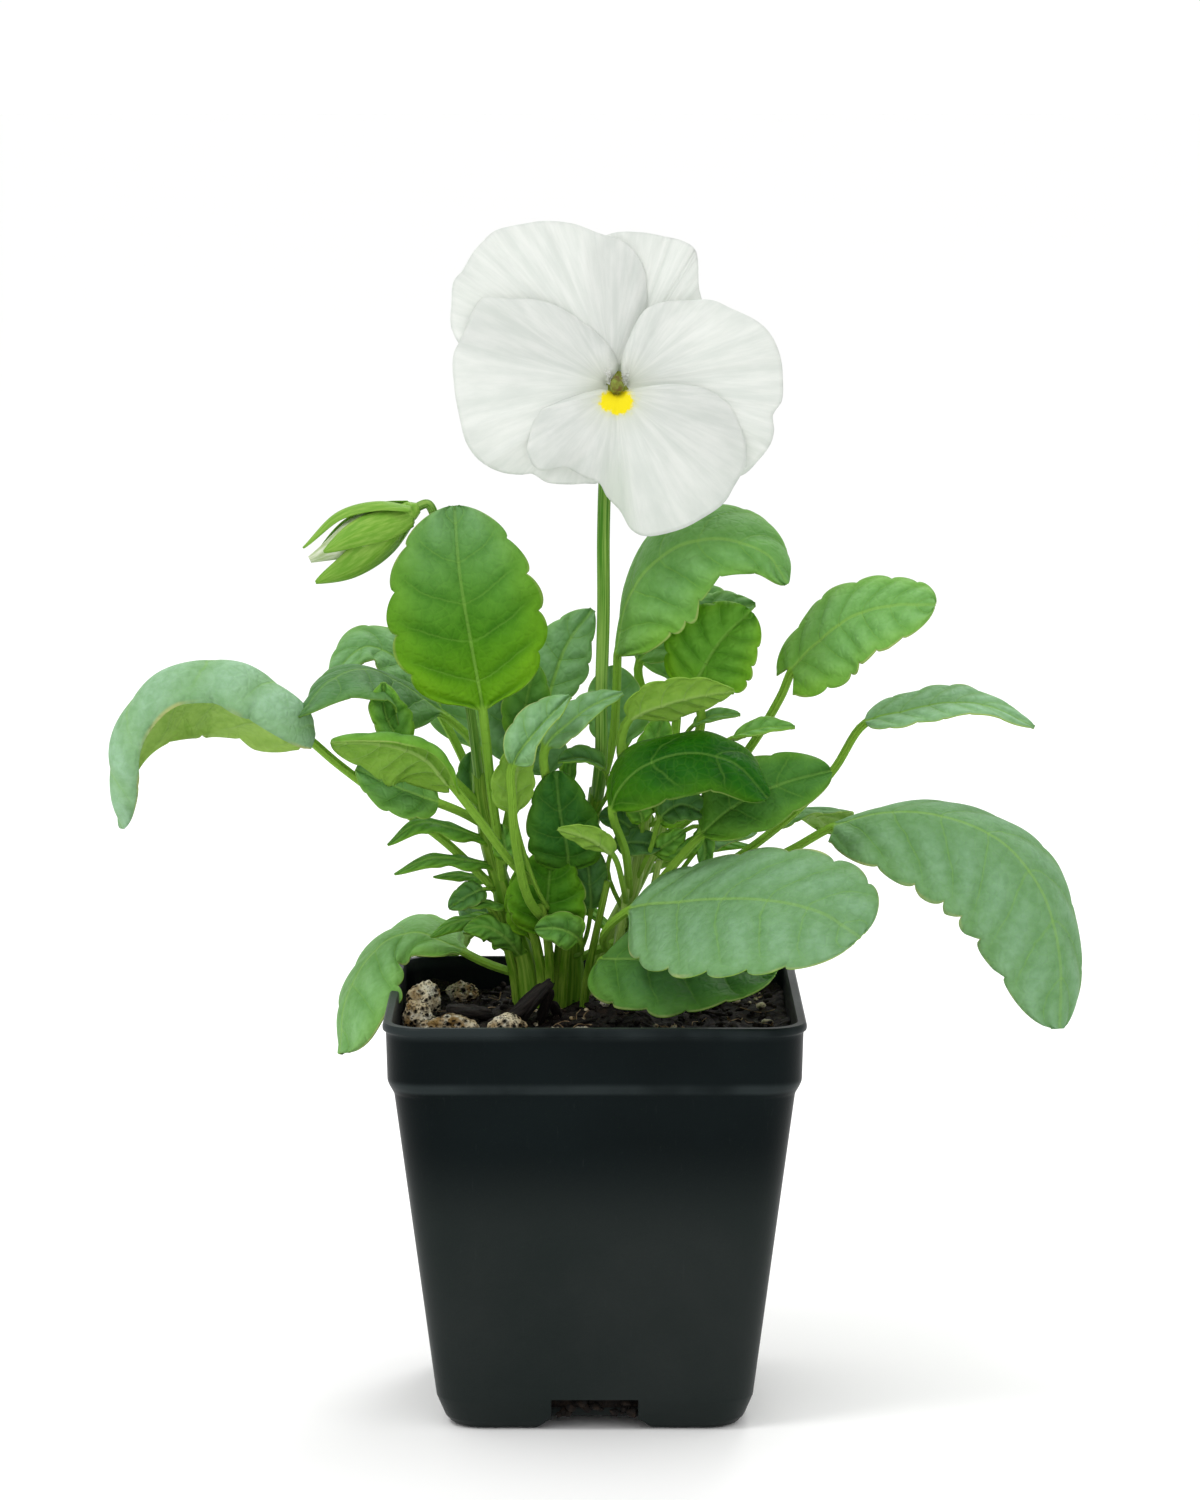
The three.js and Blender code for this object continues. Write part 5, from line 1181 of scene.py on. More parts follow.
LEAVES = {
    "left": [
        leaf("tall_front", [(-21.5, 5, 119), (-22.5, -3, 132), (-24, -7, 145), (-25, -9, 156),
                            (-26, -10, 165), (-28.6, -10, 180), (-31, -9, 195), (-32.3, -5, 210)],
             4, 37, [(0.1, -1, 0), (0, -1, 0.1), (0, -0.9, 0.4)], fold=(12, 12), young=0.4, frost=0.0,
             tip_frost=0.5),
        leaf("arching_left", [(-21, 5, 117), (-36, 1.5, 132), (-50, 1, 142), (-60, -1, 150),
                              (-66.5, -3, 156), (-73.5, -4, 161), (-80.5, -4, 165), (-88, -5, 167.2),
                              (-96, -7, 165.3), (-102.8, -9, 159), (-107.3, -10, 150.5), (-109, -11, 143),
                              (-109, -11, 136)],
             4.1, 43, [(0.2, 0.8, 0.5), (0, 0.9, 0.5), (-1, 0.2, 0)], fold=(25, 24), roll=(-180, -10),
             halves=(1.28, 0.92), slim_tip=(0, 0.7), lobe=2, shape=(0.56, 0.62), young=0.1, frost=1.0,
             crinkle=0.8),
        leaf("long_left", [(-26.5, 3, 143), (-28, 6, 153), (-36, 6, 161), (-45, 3, 168), (-53, -2, 172),
                           (-61, -9, 170), (-68, -16, 162.5)],
             2, 28, [(0.3, -0.4, 0.8), (0, -0.4, 1), (-0.6, -0.3, 0.6)], fold=(-8, -20), halves=(1.2, 1),
             shape=LANCE, young=0.1, frost=0.3),
        leaf("pale_behind", [(-24, 4, 128), (-29, 15, 144), (-38, 21, 161), (-46, 22, 171), (-54, 21, 174.5),
                             (-62, 17, 168)],
             2, 20, [(0.4, -0.5, 0.6), (0, -0.5, 1), (-0.5, -0.3, 0.6)], young=0.5, frost=0.5),
        leaf("small_folded", [(-26.3, 3, 139), (-35, -3, 148), (-43, -9, 154), (-48, -11, 162),
                              (-48.5, -12, 170)],
             2, 12, [(0.5, -0.6, 0.3), (0.5, -0.8, 0.2), (0, -1, 0.2)], fold=(30, 30), teeth=4, shape=LANCE,
             young=0.7, frost=0.2),
        leaf("short_left", [(-25.2, 3, 134.5), (-31, -5, 139), (-36, -8, 141.5), (-42, -10, 144),
                            (-49, -11, 147), (-55, -11, 150)],
             2, 16, [(0.3, -0.6, 0.6), (0, -0.7, 0.7), (0, -0.7, 0.7)], teeth=4, shape=LANCE,
             young=0.5, frost=0.3),
        leaf("over_left_rim", [(-16, 8, 98), (-25, 8, 101), (-34, 10, 105), (-42, 13, 107.5),
                               (-49, 14, 105.5), (-55, 12, 99.5), (-59, 9, 91), (-60, 6, 80)],
             1.8, 38, [(0.2, -0.5, 0.9), (-0.6, -0.5, 0.8), (-0.9, -0.45, 0.2)], fold=(-4, -22),
             roll=(-10, -20), halves=(0.55, 1.45), slim_tip=(-1.0, 0.1), shape=(1.22, 0.32), young=0.8,
             frost=0.5),
        leaf("narrow_upright", [(-23, 4, 123), (-19.5, 10, 140), (-18, 12, 153), (-16, 12, 163),
                                (-14, 12, 172)],
             2, 12, [(0.2, -0.9, 0.2), (0.2, -0.9, 0.2), (0.2, -0.9, 0.3)], fold=(16, 16), teeth=4,
             shape=LANCE, young=0.6, frost=0.2),
        leaf("tall_back", [(-20.5, 6, 115), (-24, 20, 133), (-27, 32, 150), (-30, 40, 163), (-33, 47, 176),
                           (-36, 54, 186)],
             2, 28, [(0, -0.8, 0.5), (0, -0.7, 0.7), (0, -0.4, 0.9)], young=0.3, frost=0.5),
        leaf("low_back_left", [(-15.7, 8, 99), (-20, 22, 101.5), (-25, 34, 103), (-30, 43, 104),
                               (-35, 51, 101), (-38, 55, 93)],
             2, 25, [(0.3, -0.4, 0.9), (-0.2, 0.2, 1), (-0.5, 0.7, 0.4)], young=0.1, frost=0.6),
    ],
    "middle": [
        leaf("pale_rolled", [(-4.5, 11, 113), (-18, -6, 126), (-27, -13, 139), (-33.5, -17, 148),
                             (-39, -20, 154), (-47, -22, 157), (-60, -24, 158)],
             3, 24, [(0.4, 0.6, 0.7), (0, 0.8, 0.6), (0, 0.7, 0.7)], fold=(20, 6), roll=(-120, -10),
             halves=(0.85, 1.1), lobe=4, young=0.6, frost=0.2, crinkle=0.6),
        leaf("folded_strap", [(-3.5, 9, 121), (-10, -5, 142), (-11.5, -8, 154), (-5.5, -9, 160.5),
                              (0, -9, 164.5), (6.5, -8, 167)],
             2, 10, [(0.3, -0.7, 0.5), (-0.2, -0.6, 0.8), (-0.2, -0.5, 0.8)], fold=(14, 14), teeth=4,
             shape=LANCE, young=0.4, frost=0.65),
        leaf("dark_centre", [(-4, 10, 116), (-6, -1, 125), (-6.5, -6, 131), (-8, -8, 139), (-9, -8, 149)],
             1, 18, [(0, -0.8, -0.3), (0, -1, 0.1), (0, -1, 0.4)], teeth=4, young=0.05, frost=0.05),
        leaf("folded_front", [(-5, 12, 106), (-15, -6, 118), (-18, -11, 131), (-19, -14, 143),
                              (-19, -15, 151), (-12.5, -15, 160), (-5.5, -14, 167)],
             4, 12, [(0.4, -0.8, 0), (-0.4, -0.7, 0.6), (-0.4, -0.7, 0.6)], fold=(35, 35), teeth=3,
             shape=LANCE, young=0.6, frost=0.75),
        leaf("behind_middle", [(-1.5, 7, 131), (-8, 18, 148), (-11, 21, 160), (-9, 22, 169),
                               (-6, 23, 176), (-0.5, 25, 183)],
             2, 15, [(0.3, -0.8, 0.3), (0, -0.9, 0.4), (0, -0.8, 0.5)], teeth=4, shape=LANCE,
             young=0.8, frost=0.7),
        leaf("under_bloom", [(-0.5, 6, 137), (4, 10, 153), (5, 9, 166), (5.5, 7, 178), (8, 5, 188),
                             (13, 2, 195.5), (21, -2, 201), (30.5, -4, 202), (40, -6, 198.3),
                             (44, -7, 192)],
             2.8, 38, [(-0.8, -0.6, 0.2), (-0.3, -1, 0.3), (0.4, -0.9, 0.4)], fold=(-34, 2), roll=(-40, -6),
             halves=(1.35, 0.95), slim_tip=(0, 0.45), shape=LOBED, teeth=6, young=0.6, frost=0.34),
        leaf("long_drooping", [(-5, 13, 101), (13, 14, 109), (29.5, 12, 119), (46, 9, 128), (57, 6, 134.5),
                               (69.5, 2, 138), (82.4, -1, 137), (94.8, -4, 131.5), (104, -6, 119.8),
                               (108, -7, 104.5), (108, -8, 88.5)],
             4, 44, [(-0.2, -0.5, 0.85), (0.25, -0.85, 0.6), (0.35, -1, 0.2)], fold=(-28, -4),
             roll=(-26, -10), halves=(0.82, 1.05), lobe=3, teeth=7, shape=(0.95, 0.45), young=0.1, frost=0.64,
             crinkle=0.55),
    ],
    "right": [
        leaf("small_pale", [(7.5, 6, 113), (6.5, -6, 122), (4, -13, 130.5), (-1, -16, 134.5),
                            (-8.5, -18, 137)],
             2, 7.5, [(0.3, 0.7, 0.6), (0, 0.8, 0.6), (0, 0.8, 0.6)], teeth=3, shape=LANCE, stalk=0.7,
             young=1.0, frost=0.35),
        leaf("pale_from_below", [(12, 2, 139), (8, -2, 146), (6, -3, 153.5), (8, -6, 161), (16, -9, 165),
                                 (24.5, -10, 167), (32, -11, 168)],
             3, 15, [(-0.3, 0.7, 0.5), (0, 0.7, 0.7), (0, 0.6, 0.8)], shape=LANCE, young=0.9, frost=0.3),
        leaf("dark_drooping", [(8, 5, 117), (7, -9, 130), (4, -15, 142), (10, -17, 150.5),
                               (21, -19, 154.5), (31.5, -20, 152.5), (39.5, -21, 144.5)],
             2, 24, [(-0.7, -0.6, 0.4), (0, -0.6, 0.9), (0.7, -0.5, 0.4)], fold=(-10, -10), teeth=3,
             shape=ROUND, young=0.0, frost=0.0),
        leaf("dark_right", [(6.5, 6.5, 109), (15, -7, 123), (25, -11, 135), (32, -11, 141),
                            (42.5, -10, 146), (54.5, -8, 149)],
             2, 19, [(-0.5, -0.6, 0.6), (-0.2, -0.9, 0.5), (0, -0.8, 0.7)], teeth=3, shape=ROUND,
             young=0.2, frost=0.1),
        leaf("broad_low", [(5.5, 8, 101), (2, -6, 110.5), (9, -14, 118), (18, -22, 120.5), (29, -32, 123),
                           (41, -42, 124), (51, -49.7, 122.5), (59, -55, 118)],
             2, 38, [(-0.4, -0.6, 0.8), (0, -0.7, 0.8), (0.2, -0.8, 0.6)], fold=(2, 2), teeth=6,
             halves=(0.98, 1.34), slim_tip=(0, 0.08), shape=(1.15, 0.38), young=0.1, frost=0.62,
             crinkle=0.5),
        # its grey is raised a little to make up for the shade that broad_low casts on it: painted light
        leaf("lowest", [(5, 8, 98), (2, -4, 103), (2, -12, 105.5), (10, -18, 106.5), (20, -22, 106),
                        (31, -26, 105.5), (41, -30, 105)],
             2, 33, [(-0.4, -0.5, 0.8), (0, -0.6, 0.8), (0.2, -0.5, 0.9)], fold=(4, 4), shape=ROUND,
             young=0.08, frost=0.17),
    ],
    "back": [
        leaf("behind_round", [(17, 16, 141), (14, 25, 156), (10.5, 28, 170), (22, 28, 178),
                              (30.5, 27, 182.5), (38, 26, 184)],
             2, 16, [(-0.4, -0.7, 0.5), (-0.2, -0.6, 0.8), (0, -0.5, 0.8)], shape=LANCE,
             young=0.5, frost=0.4),
        # its young green is raised to the full to make up for the shade that under_bloom casts on it: painted
        # light
        leaf("round_right", [(18, 15, 148), (23, 12, 152), (25, 11, 159), (23.5, 10, 166), (26, 9, 172),
                             (30, 9, 178), (36.5, 11, 184)],
             3, 23, [(0, -0.9, 0.2), (-0.1, -0.9, 0.4), (0, -0.8, 0.6)], shape=ROUND, young=1.0, frost=0.14),
        leaf("raised_right", [(14, 17.5, 128), (25, 15, 137), (36.5, 12, 152), (43.5, 11, 164),
                              (46.5, 10, 171), (53, 8, 178), (60, 5, 183.5), (69, 0, 186.5),
                              (78.5, -4, 187)],
             4, 24, [(-0.5, -0.7, 0.5), (-0.3, -0.8, 0.6), (0, -0.8, 0.6)], fold=(-14, 4), teeth=6,
             halves=(1.1, 1.2), lobe=5, shape=(0.76, 0.42), young=0.9, frost=0.42),
        leaf("small_right", [(17, 16, 142), (25, 8, 150), (32, 4, 155), (39, 2, 157.5), (46.5, 1, 158)],
             2, 9, [(0, -0.3, 1), (0, -0.4, 1), (0, -0.3, 1)], fold=(16, 16), teeth=4, shape=LANCE,
             stalk=0.8, young=0.8, frost=0.3),
        leaf("slender_right", [(7, 20, 113), (20, 19, 117), (33, 15, 125), (47.5, 12, 137), (56, 10, 147),
                               (63, 8, 158), (72, 6, 161), (81.5, 4, 163.2), (91, 2, 162.8),
                               (102, 0, 158)],
             5, 17, [(-0.4, -0.4, 0.8), (0, -0.4, 1), (0.4, -0.3, 0.9)], teeth=6, shape=LANCE,
             young=0.6, frost=0.9),
        leaf("over_back_rim", [(0.5, 22, 98), (10, 32, 105), (17, 42, 109), (21, 50, 106), (24, 55, 98),
                               (25, 56.5, 87)],
             2, 30, [(0, 0, 1), (0.1, 0.6, 0.9), (0.2, 1, 0.1)], fold=(-4, -4), young=0.1, frost=0.7),
        leaf("back_right", [(11, 19, 121), (24, 28, 125), (35, 36, 129), (45, 42.5, 132), (53, 48.5, 131),
                            (59, 53, 125)],
             2, 29, [(-0.3, -0.3, 0.9), (0.2, 0.2, 1), (0.5, 0.6, 0.6)], young=0.15, frost=0.5),
        leaf("high_back", [(16, 16.5, 136), (19, 31, 151), (20, 39, 165), (20, 45, 176), (20, 51, 184),
                           (20, 55.4, 187)],
             2, 26, [(0, -0.7, 0.7), (0, -0.2, 1), (0, 0.3, 1)], young=0.3, frost=0.4),
    ],
}


def small_leaf(name, route, width, face, young, frost=0.2, **rest):
    """A young leaf of the crown. Its blade is the upper part of its route."""
    rest = {"teeth": 3, "stalk": 0.55, "shape": OVATE, "fold": (14, 14), **rest}
    return leaf(name, route, len(route) - 3, width, [face] * 3, young=young, frost=frost, **rest)


# Small leaves that fill the crown, by the stem that carries them.
CROWN = {
    "left": [
        small_leaf("dark_behind_left", [(-24, 5, 128), (-27, 9, 138), (-29, 10, 144), (-29, 10, 151)],
                   8, (0.2, -1, 0.2), 0.1),
        small_leaf("behind_tall", [(-22, 6, 118), (-19, 13, 138), (-19, 14, 148), (-18, 15, 160),
                                   (-17, 15, 170)],
                   18, (0.1, -1, 0.3), 0.4, 0.7),
        small_leaf("dusty_low_left", [(-15.8, 8, 98), (-20, 9, 103), (-24, 10, 108), (-28, 10, 112),
                                      (-32, 10, 114)], 9, (0, -0.7, 0.7), 0.2, 0.8),
        small_leaf("lobed_at_node", [(-22, 6, 119), (-26, 0, 120), (-29, -2, 119), (-34, -3, 116)],
                   7, (0, -0.8, 0.6), 0.2, crinkle=2.0),
        small_leaf("young_at_node", [(-23, 5, 124), (-21, -1, 127), (-21, -3, 131), (-22, -4, 136)],
                   6, (0, -1, 0.2), 0.8, crinkle=2.5),
    ],
    "middle": [
        small_leaf("boat_shaped", [(-0.5, 6, 136), (3, 0, 143), (2, -4, 149), (-3, -6, 151.5),
                                   (-8.5, -7, 151)],
                   7, (0, -0.6, 0.8), 0.15, fold=(35, 35)),
        small_leaf("pale_underside", [(-5, 12, 106), (-13, -5, 120), (-17.5, -9, 134), (-18.5, -11, 140),
                                      (-18.5, -12, 147), (-16.5, -12, 156)], 11, (-0.3, 0.9, 0.2), 0.9, 0.3),
        small_leaf("low_young", [(-5, 12, 102), (-3, 2, 105), (-4, -3, 109), (-8, -5, 111.5),
                                 (-14, -5, 111.5)],
                   9, (0, -1, 0.3), 0.5, shape=LOBED),
        small_leaf("crown_shade", [(-7, 12, 100), (-10, 4, 104), (-11.5, 0, 110), (-11, -1, 118),
                                   (-10, -1, 130)],
                   19, (0, -1, 0.1), 0.3, 0.02, crinkle=2.2, teeth=4),
        small_leaf("left_of_shade", [(-8, 12, 98), (-13, 6, 103), (-15, 3, 109), (-15.5, 2, 117),
                                     (-15, 1, 127)],
                   12, (0.1, -1, 0), 0.55, 0.05, crinkle=1.5),
        small_leaf("dark_strap", [(-5, 12, 100), (-2, 6, 108), (-1, 3, 115), (-1.5, 2, 124), (-3, 2, 134)],
                   9, (0.2, -1, 0), 0.1, crinkle=1.5),
        small_leaf("behind_strap", [(-3, 9, 124), (-8, 10, 138), (-11, 10, 146), (-13, 9, 154),
                                    (-14, 9, 162)],
                   13, (0.1, -1, 0.3), 0.3, 0.6),
    ],
    "right": [
        small_leaf("dark_low_left", [(8, 5, 117), (10, 4, 126), (9, 2, 133), (5, 1, 136.5), (1, 1, 137)],
                   7, (0, -0.8, 0.6), 0.05),
        small_leaf("dark_low", [(7, 6, 113), (3, 3, 124), (5, 1, 130), (10, 0, 131), (15.5, 0, 130)],
                   8, (0, -0.8, 0.6), 0.05),
        small_leaf("dark_round_small", [(9, 4, 120), (13, -2, 130), (15.5, -6, 138), (20, -8, 141),
                                        (25.5, -8, 139)],
                   9, (0, -0.8, 0.5), 0.1, shape=ROUND),
        small_leaf("hanging_small", [(10, 3, 126), (18, 0, 132), (24, -1, 135), (25.5, -2, 131),
                                     (25.5, -2, 125)],
                   5, (0, -1, 0.1), 0.5),
        small_leaf("crumpled_first", [(11, 3, 131), (11, -1, 136), (10, -3, 140), (8, -4, 146)],
                   7, (0.3, -1, 0.2), 1.0, crinkle=3.5),
        small_leaf("crumpled_second", [(12, 2, 138), (14, -2, 139), (16, -4, 142), (18.5, -5, 147)],
                   8, (0, -1, 0.3), 0.9, crinkle=3.5),
        small_leaf("crumpled_third", [(11, 3, 134), (15, 0, 136), (19, -1, 139), (24, -2, 144)],
                   7, (0, -1, 0.4), 1.0, crinkle=3.0),
        small_leaf("crumpled_low", [(10, 3, 128), (14, 0, 129), (17, -1, 131), (21, -1, 134)],
                   6, (0.2, -1, 0.2), 0.9, crinkle=3.0),
        small_leaf("bright_behind", [(13, 2, 142), (13, 4, 148), (14, 5, 153), (16, 5, 160)],
                   9, (0, -1, 0.3), 0.8, crinkle=1.8),
    ],
    "back": [
        small_leaf("slender_behind", [(17, 16, 141), (20, 14, 152), (23, 12, 157), (28, 10, 159.5),
                                      (34, 9, 160)],
                   5, (0, -0.5, 0.8), 0.7, 0.4),
        small_leaf("back_fill", [(15, 17, 131), (9, 20, 144), (7, 21, 152), (5, 22, 160), (4, 22, 170)],
                   16, (0, -1, 0.3), 0.5, 0.5),
        small_leaf("pale_low_right", [(4, 21, 107), (18, 17, 119), (25, 14, 128), (31, 12, 132),
                                      (38, 10, 132)],
                   8, (0, -0.8, 0.5), 0.5, 0.7),
    ],
}


def make_leafy_stems():
    for side, (route, radii) in STEMS.items():
        node = "leafy_stem_" + side
        stem = tube(route, radii, 26, 70, ridges=5, ridge_depth=0.05)
        skin = PALE_STEM_SKIN if side in ("right", "back") else STEM_SKIN
        stalks = [tube(*stalk, 16, 30, ridges=3, ridge_depth=0.06) for stalk in CROWN_STALKS[side]]
        piece("stem_" + side, [stem, *stalks], [skin], node)
        blades = [narrow_blade(*row, lobes=3, thick=0.45) for row in STIPULES[side]]
        piece("stipules_" + side, blades, [LEAF_TOP, LEAF_UNDER], node)
        for count, (name, shape) in enumerate(LEAVES[side] + CROWN[side]):
            blade = leaf_skin(**shape, seed=count * 13 + len(side))
            piece("leaf_" + name, [blade], [LEAF_TOP, LEAF_UNDER], node)


# ------------------------------------------------------------------------------ bloom

TILT = math.radians(BLOOM_TILT)
BLOOM_AXES = np.array([
    (1, 0, 0),
    (0, math.sin(TILT), math.cos(TILT)),
    (0, -math.cos(TILT), math.sin(TILT)),
])
PETAL_BASE = -3.9               # how deep the petals meet in the throat
THROAT_RADIUS = 2.3             # finer than in the solids
SIDE_PETAL_OUT = -1.7           # where the side petals' faces lie beside the throat
HAIR_COUNT = 120                # on each side petal


def in_bloom(places):
    """Bloom coordinates, which are right, up and out, as places in the scene."""
    return np.asarray(places, float) @ BLOOM_AXES + np.array(BLOOM_CENTRE, float)


# Layer, cup, ruffle and its waves, how far the rim bends back, root, rim.
PETALS = {
    "upper_right": (-6.6, -0.3, 0.8, 2, 0.9, (1, 3), [
        (-5, 13), (-7, 24), (-6, 33), (-1.5, 36), (5, 36.5), (11, 35.5), (15, 34.5), (18, 32.5),
        (18.7, 30.5), (19, 24), (20, 18), (17, 12), (10, 6)]),
    "upper_left": (-4.2, 0.3, 0.8, 2, 1.7, (-1, 3), [
        (-14, 4), (-26, 5), (-34, 8), (-38, 14), (-38, 20), (-37.5, 25), (-35.5, 27.5), (-33.5, 31),
        (-31, 34), (-28, 36.5), (-22, 38), (-16, 38.8), (-9.5, 38), (-4, 36), (2, 34), (6, 29), (7, 20),
        (5, 12)]),
    "left": (-1.5, 1, 0.8, 3, 1.7, (-2, 1), [
        (-2, -14), (-4, -21.5), (-7.5, -21.8), (-11, -22), (-16, -21.5), (-19.5, -19.5), (-22, -19.7),
        (-27, -19), (-31.5, -16.5), (-34.5, -12.5), (-36, -7), (-37.2, -0.5), (-37.5, 8), (-35.5, 12),
        (-33, 18), (-30.5, 21), (-25.5, 20.7), (-19, 20.6), (-13, 18.8), (-8.5, 16), (-4.2, 12.8),
        (-1.2, 9.4), (0.2, 6.4), (0.3, 4.2)]),
    "right": (-1.5, 1, 0.8, 3, 1.7, (2, 1), [
        (0.9, 4.2), (1.2, 7), (2.8, 11.5), (6.4, 18), (10.8, 20), (16, 20.4), (22, 20.4), (26, 18.6),
        (33, 15), (36, 11.5), (37.8, 7), (38.3, 2), (38, -2.8), (36, -6), (36.2, -9.5), (35.5, -12.5),
        (33, -16), (28.5, -20), (20, -19), (11, -12)]),
    "lip": (2, 1, 0.9, 3, 1.9, (0, -1), [
        (4.6, -0.4), (9.4, 0.7), (15.5, 0.7), (21, -0.5), (25.5, -3.5), (28, -8), (29.6, -12.5),
        (29.6, -17.5), (27, -22.5), (24.5, -26.5), (19, -30.3), (14.5, -32.5), (6.5, -34), (3.4, -32.5),
        (0.7, -28), (-2.3, -24.8), (-4, -21.8), (-7.5, -20.4), (-11.5, -18.3), (-18, -18.8),
        (-20.5, -14.7), (-20, -11), (-18, -5.5), (-14.5, -3.7), (-8.7, -1.5), (-4.2, -0.3)]),
}

RAYS = 110                      # lines from a petal's root to its rim
RAY_STEPS = 36
FOLD_WAVES = (4, 7, 11, 16, 23)
CRIMP_WAVES = (29, 37, 53)


def petal_grid(name, seed):
    """A petal's points before they get a thickness: where each lies in the bloom, and how far out."""
    layer, cup, ruffle, waves, bend, claw, rim = PETALS[name]
    draw = random.Random(seed)
    edge = Route([(x, y, 0) for x, y in rim])
    tones = [(k, draw.uniform(0, 2 * math.pi), draw.uniform(0.4, 1) / k ** 0.5) for k in FOLD_WAVES]
    share = np.linspace(0.01, 1, RAY_STEPS)[:, None]
    u = np.linspace(0, 1, RAYS + 1)
    root = np.array([*claw, 0.0])
    rim_points = np.array([edge.at(value) for value in u])
    flat = root + (rim_points - root)[None] * share[..., None]
    folds = sum(size * np.sin(2 * math.pi * k * u + phase) for k, phase, size in tones)
    crimp = sum(np.sin(2 * math.pi * k * u + draw.uniform(0, 6)) for k in CRIMP_WAVES) * 0.33
    wave = ruffle * share ** 2 * np.sin(waves * 2 * math.pi * u)
    dip = np.exp(-(np.hypot(flat[..., 0], flat[..., 1] - 1) / THROAT_RADIUS) ** 2)
    out = mix(layer, PETAL_BASE, dip) + cup * share * (1 - share) * 4 + wave
    fade = np.sin(math.pi * u) ** 0.4
    out = out + 0.52 * folds * share ** 1.4 * fade * (1 - dip) + 0.2 * crimp * share ** 6
    out = out - bend * share ** 4
    return flat, out, u, share


def petal_sheet(name, seed):
    flat, out, u, share = petal_grid(name, seed)
    thick = PETAL_THICKNESS / 2 * (1 - 0.4 * share ** 6)
    front, back = flat.copy(), flat.copy()
    front[..., 2] = out + thick
    back[..., 2] = out - thick
    uv = np.stack(np.broadcast_arrays(u[None, :], share), -1)
    marks = {"right": flat[..., 0], "up": flat[..., 1], "lip": float(name == "lip")}
    return sheet(in_bloom(front), in_bloom(back), uv, **marks)


def make_petals():
    for seed, name in enumerate(PETALS):
        petal = petal_sheet(name, 31 + seed)
        piece("petal_" + name, [petal], [PETAL_SKIN, PETAL_SKIN], "bloom_petals")
    cup = spindle(*in_bloom([(0, 1, -6.5), (0, 1, -5.0)]), [3.0, 3.3, 3.0])
    piece("throat_cup", [cup], [THROAT_SKIN], "bloom_petals")


def make_beard():
    """Short white hairs on the side petals, on both sides of the throat."""
    draw = random.Random(17)
    hairs = []
    for side in (-1, 1):
        for _ in range(HAIR_COUNT):
            spread, rise = draw.gauss(0, 1), draw.gauss(0, 1)
            x, y = side * (1.9 + 0.5 * abs(spread)), 3.2 + 1.1 * rise + 0.4 * abs(spread)
            low = mix(SIDE_PETAL_OUT, PETAL_BASE, math.exp(-(math.hypot(x, y - 1) / THROAT_RADIUS) ** 2))
            inward, fall, lift = draw.uniform(0.2, 0.9), draw.uniform(-0.8, 0.3), draw.uniform(0.7, 1.3)
            line = [(x, y, low), (x - side * 0.1, y, low + 0.5), (x - side * inward, y + fall, low + lift)]
            hairs.append(tube(in_bloom(line), [0.12, 0.1, 0.12], 6, 5))
    piece("throat_beard", hairs, [BEARD_SKIN], "bloom_petals")


def make_pistil():
    column = spindle(*in_bloom([(0, 1.2, -7), (0.1, 1.2, 0)]), [0.9, 0.9, 0.9, 0.8], 28, 24)
    tip, chin = in_bloom([(0.1, 3.3, -1.2), (-0.1, -0.8, 2.2)])
    head = spindle(tip, chin, [0.15, 0.6, 1.1, 1.5, 1.6, 1.1], 40, 40, folds=3, fold_depth=0.1)
    piece("pistil_column", [column, head], [PISTIL_SKIN], "pistil")


def make_flower_stalk():
    route = [(0.5, 5, 141), (1, 1, 146), (1.5, 0, 152), (1.5, 0, 165), (2, 0, 185), (2, 1, 203),
             (2.5, 4.5, 218), (3.5, 9.5, 227), (4.5, 11.8, 232.5), (5, 10.5, 236), (5, 7.5, 236.7)]
    stalk = tube(route, [1.5, 1.4, 1.4, 1.4, 1.3], 28, 110, ridges=4, ridge_depth=0.07)
    piece("grooved_flower_stalk", [stalk], [STALK_SKIN], "flower_stalk")
    cup = spindle(*in_bloom([(0, 1, -7.6), (0, 1, -12)]), [2.2, 3.2, 3, 1.6])
    spur = spindle(*in_bloom([(0, 3, -9), (0, 8, -15)]), [2, 1.9, 1.7, 0.8])
    blades = []
    for angle, length in ((90, 13), (20, 12), (160, 12), (-50, 14), (-130, 14)):
        c, s = math.cos(math.radians(angle)), math.sin(math.radians(angle))
        steps = ((2, -8.6), (length * 0.5, -9.2), (length, -10.2))
        line = in_bloom([(r * c, 1 + r * s, out) for r, out in steps])
        blades.append(narrow_blade(line, 4.4, [(0, 1, 0), (0, 1, 0)], base=0.25))
    piece("calyx_sepals", [cup, *blades], [SEPAL_SKIN, SEPAL_SKIN], "flower_stalk")
    piece("petal_spur", [spur], [BUD_SKIN], "flower_stalk")


# -------------------------------------------------------------------------------- bud

BUD_NECK = (-42, -4, 209)
BUD_TIP = (-65.5, -6.7, 197.8)
BUD_SEPALS = [
    ([(-42, -6, 210), (-50, -6, 211), (-59, -6, 208.5), (-67, -7, 200.5)], 6.5,
     [(0.2, 0, 1), (-0.5, -0.3, 1)]),
    ([(-42, -6, 208), (-48, -9.5, 206.5), (-55, -11, 204), (-62, -11.5, 200)], 7.5,
     [(0.2, -1, 0.3), (-0.2, -1, 0.2)]),
    ([(-42, -5, 207.5), (-48, -7.5, 201), (-56, -8.5, 195.6), (-64, -9, 192.6)], 9.5,
     [(0.3, -0.7, -0.5), (0, -0.8, -0.5)]),
    ([(-42, -3, 207.5), (-47, -0.5, 201), (-54, 0, 197), (-61, 0, 194)], 6.5,
     [(0.3, 0.7, -0.6), (0, 0.7, -0.6)]),
    ([(-42, -2.5, 209.5), (-49, 1, 208), (-57, 1, 204.5), (-64, 0, 199)], 6.5,
     [(0.2, 1, 0.4), (-0.1, 1, 0.4)]),
]


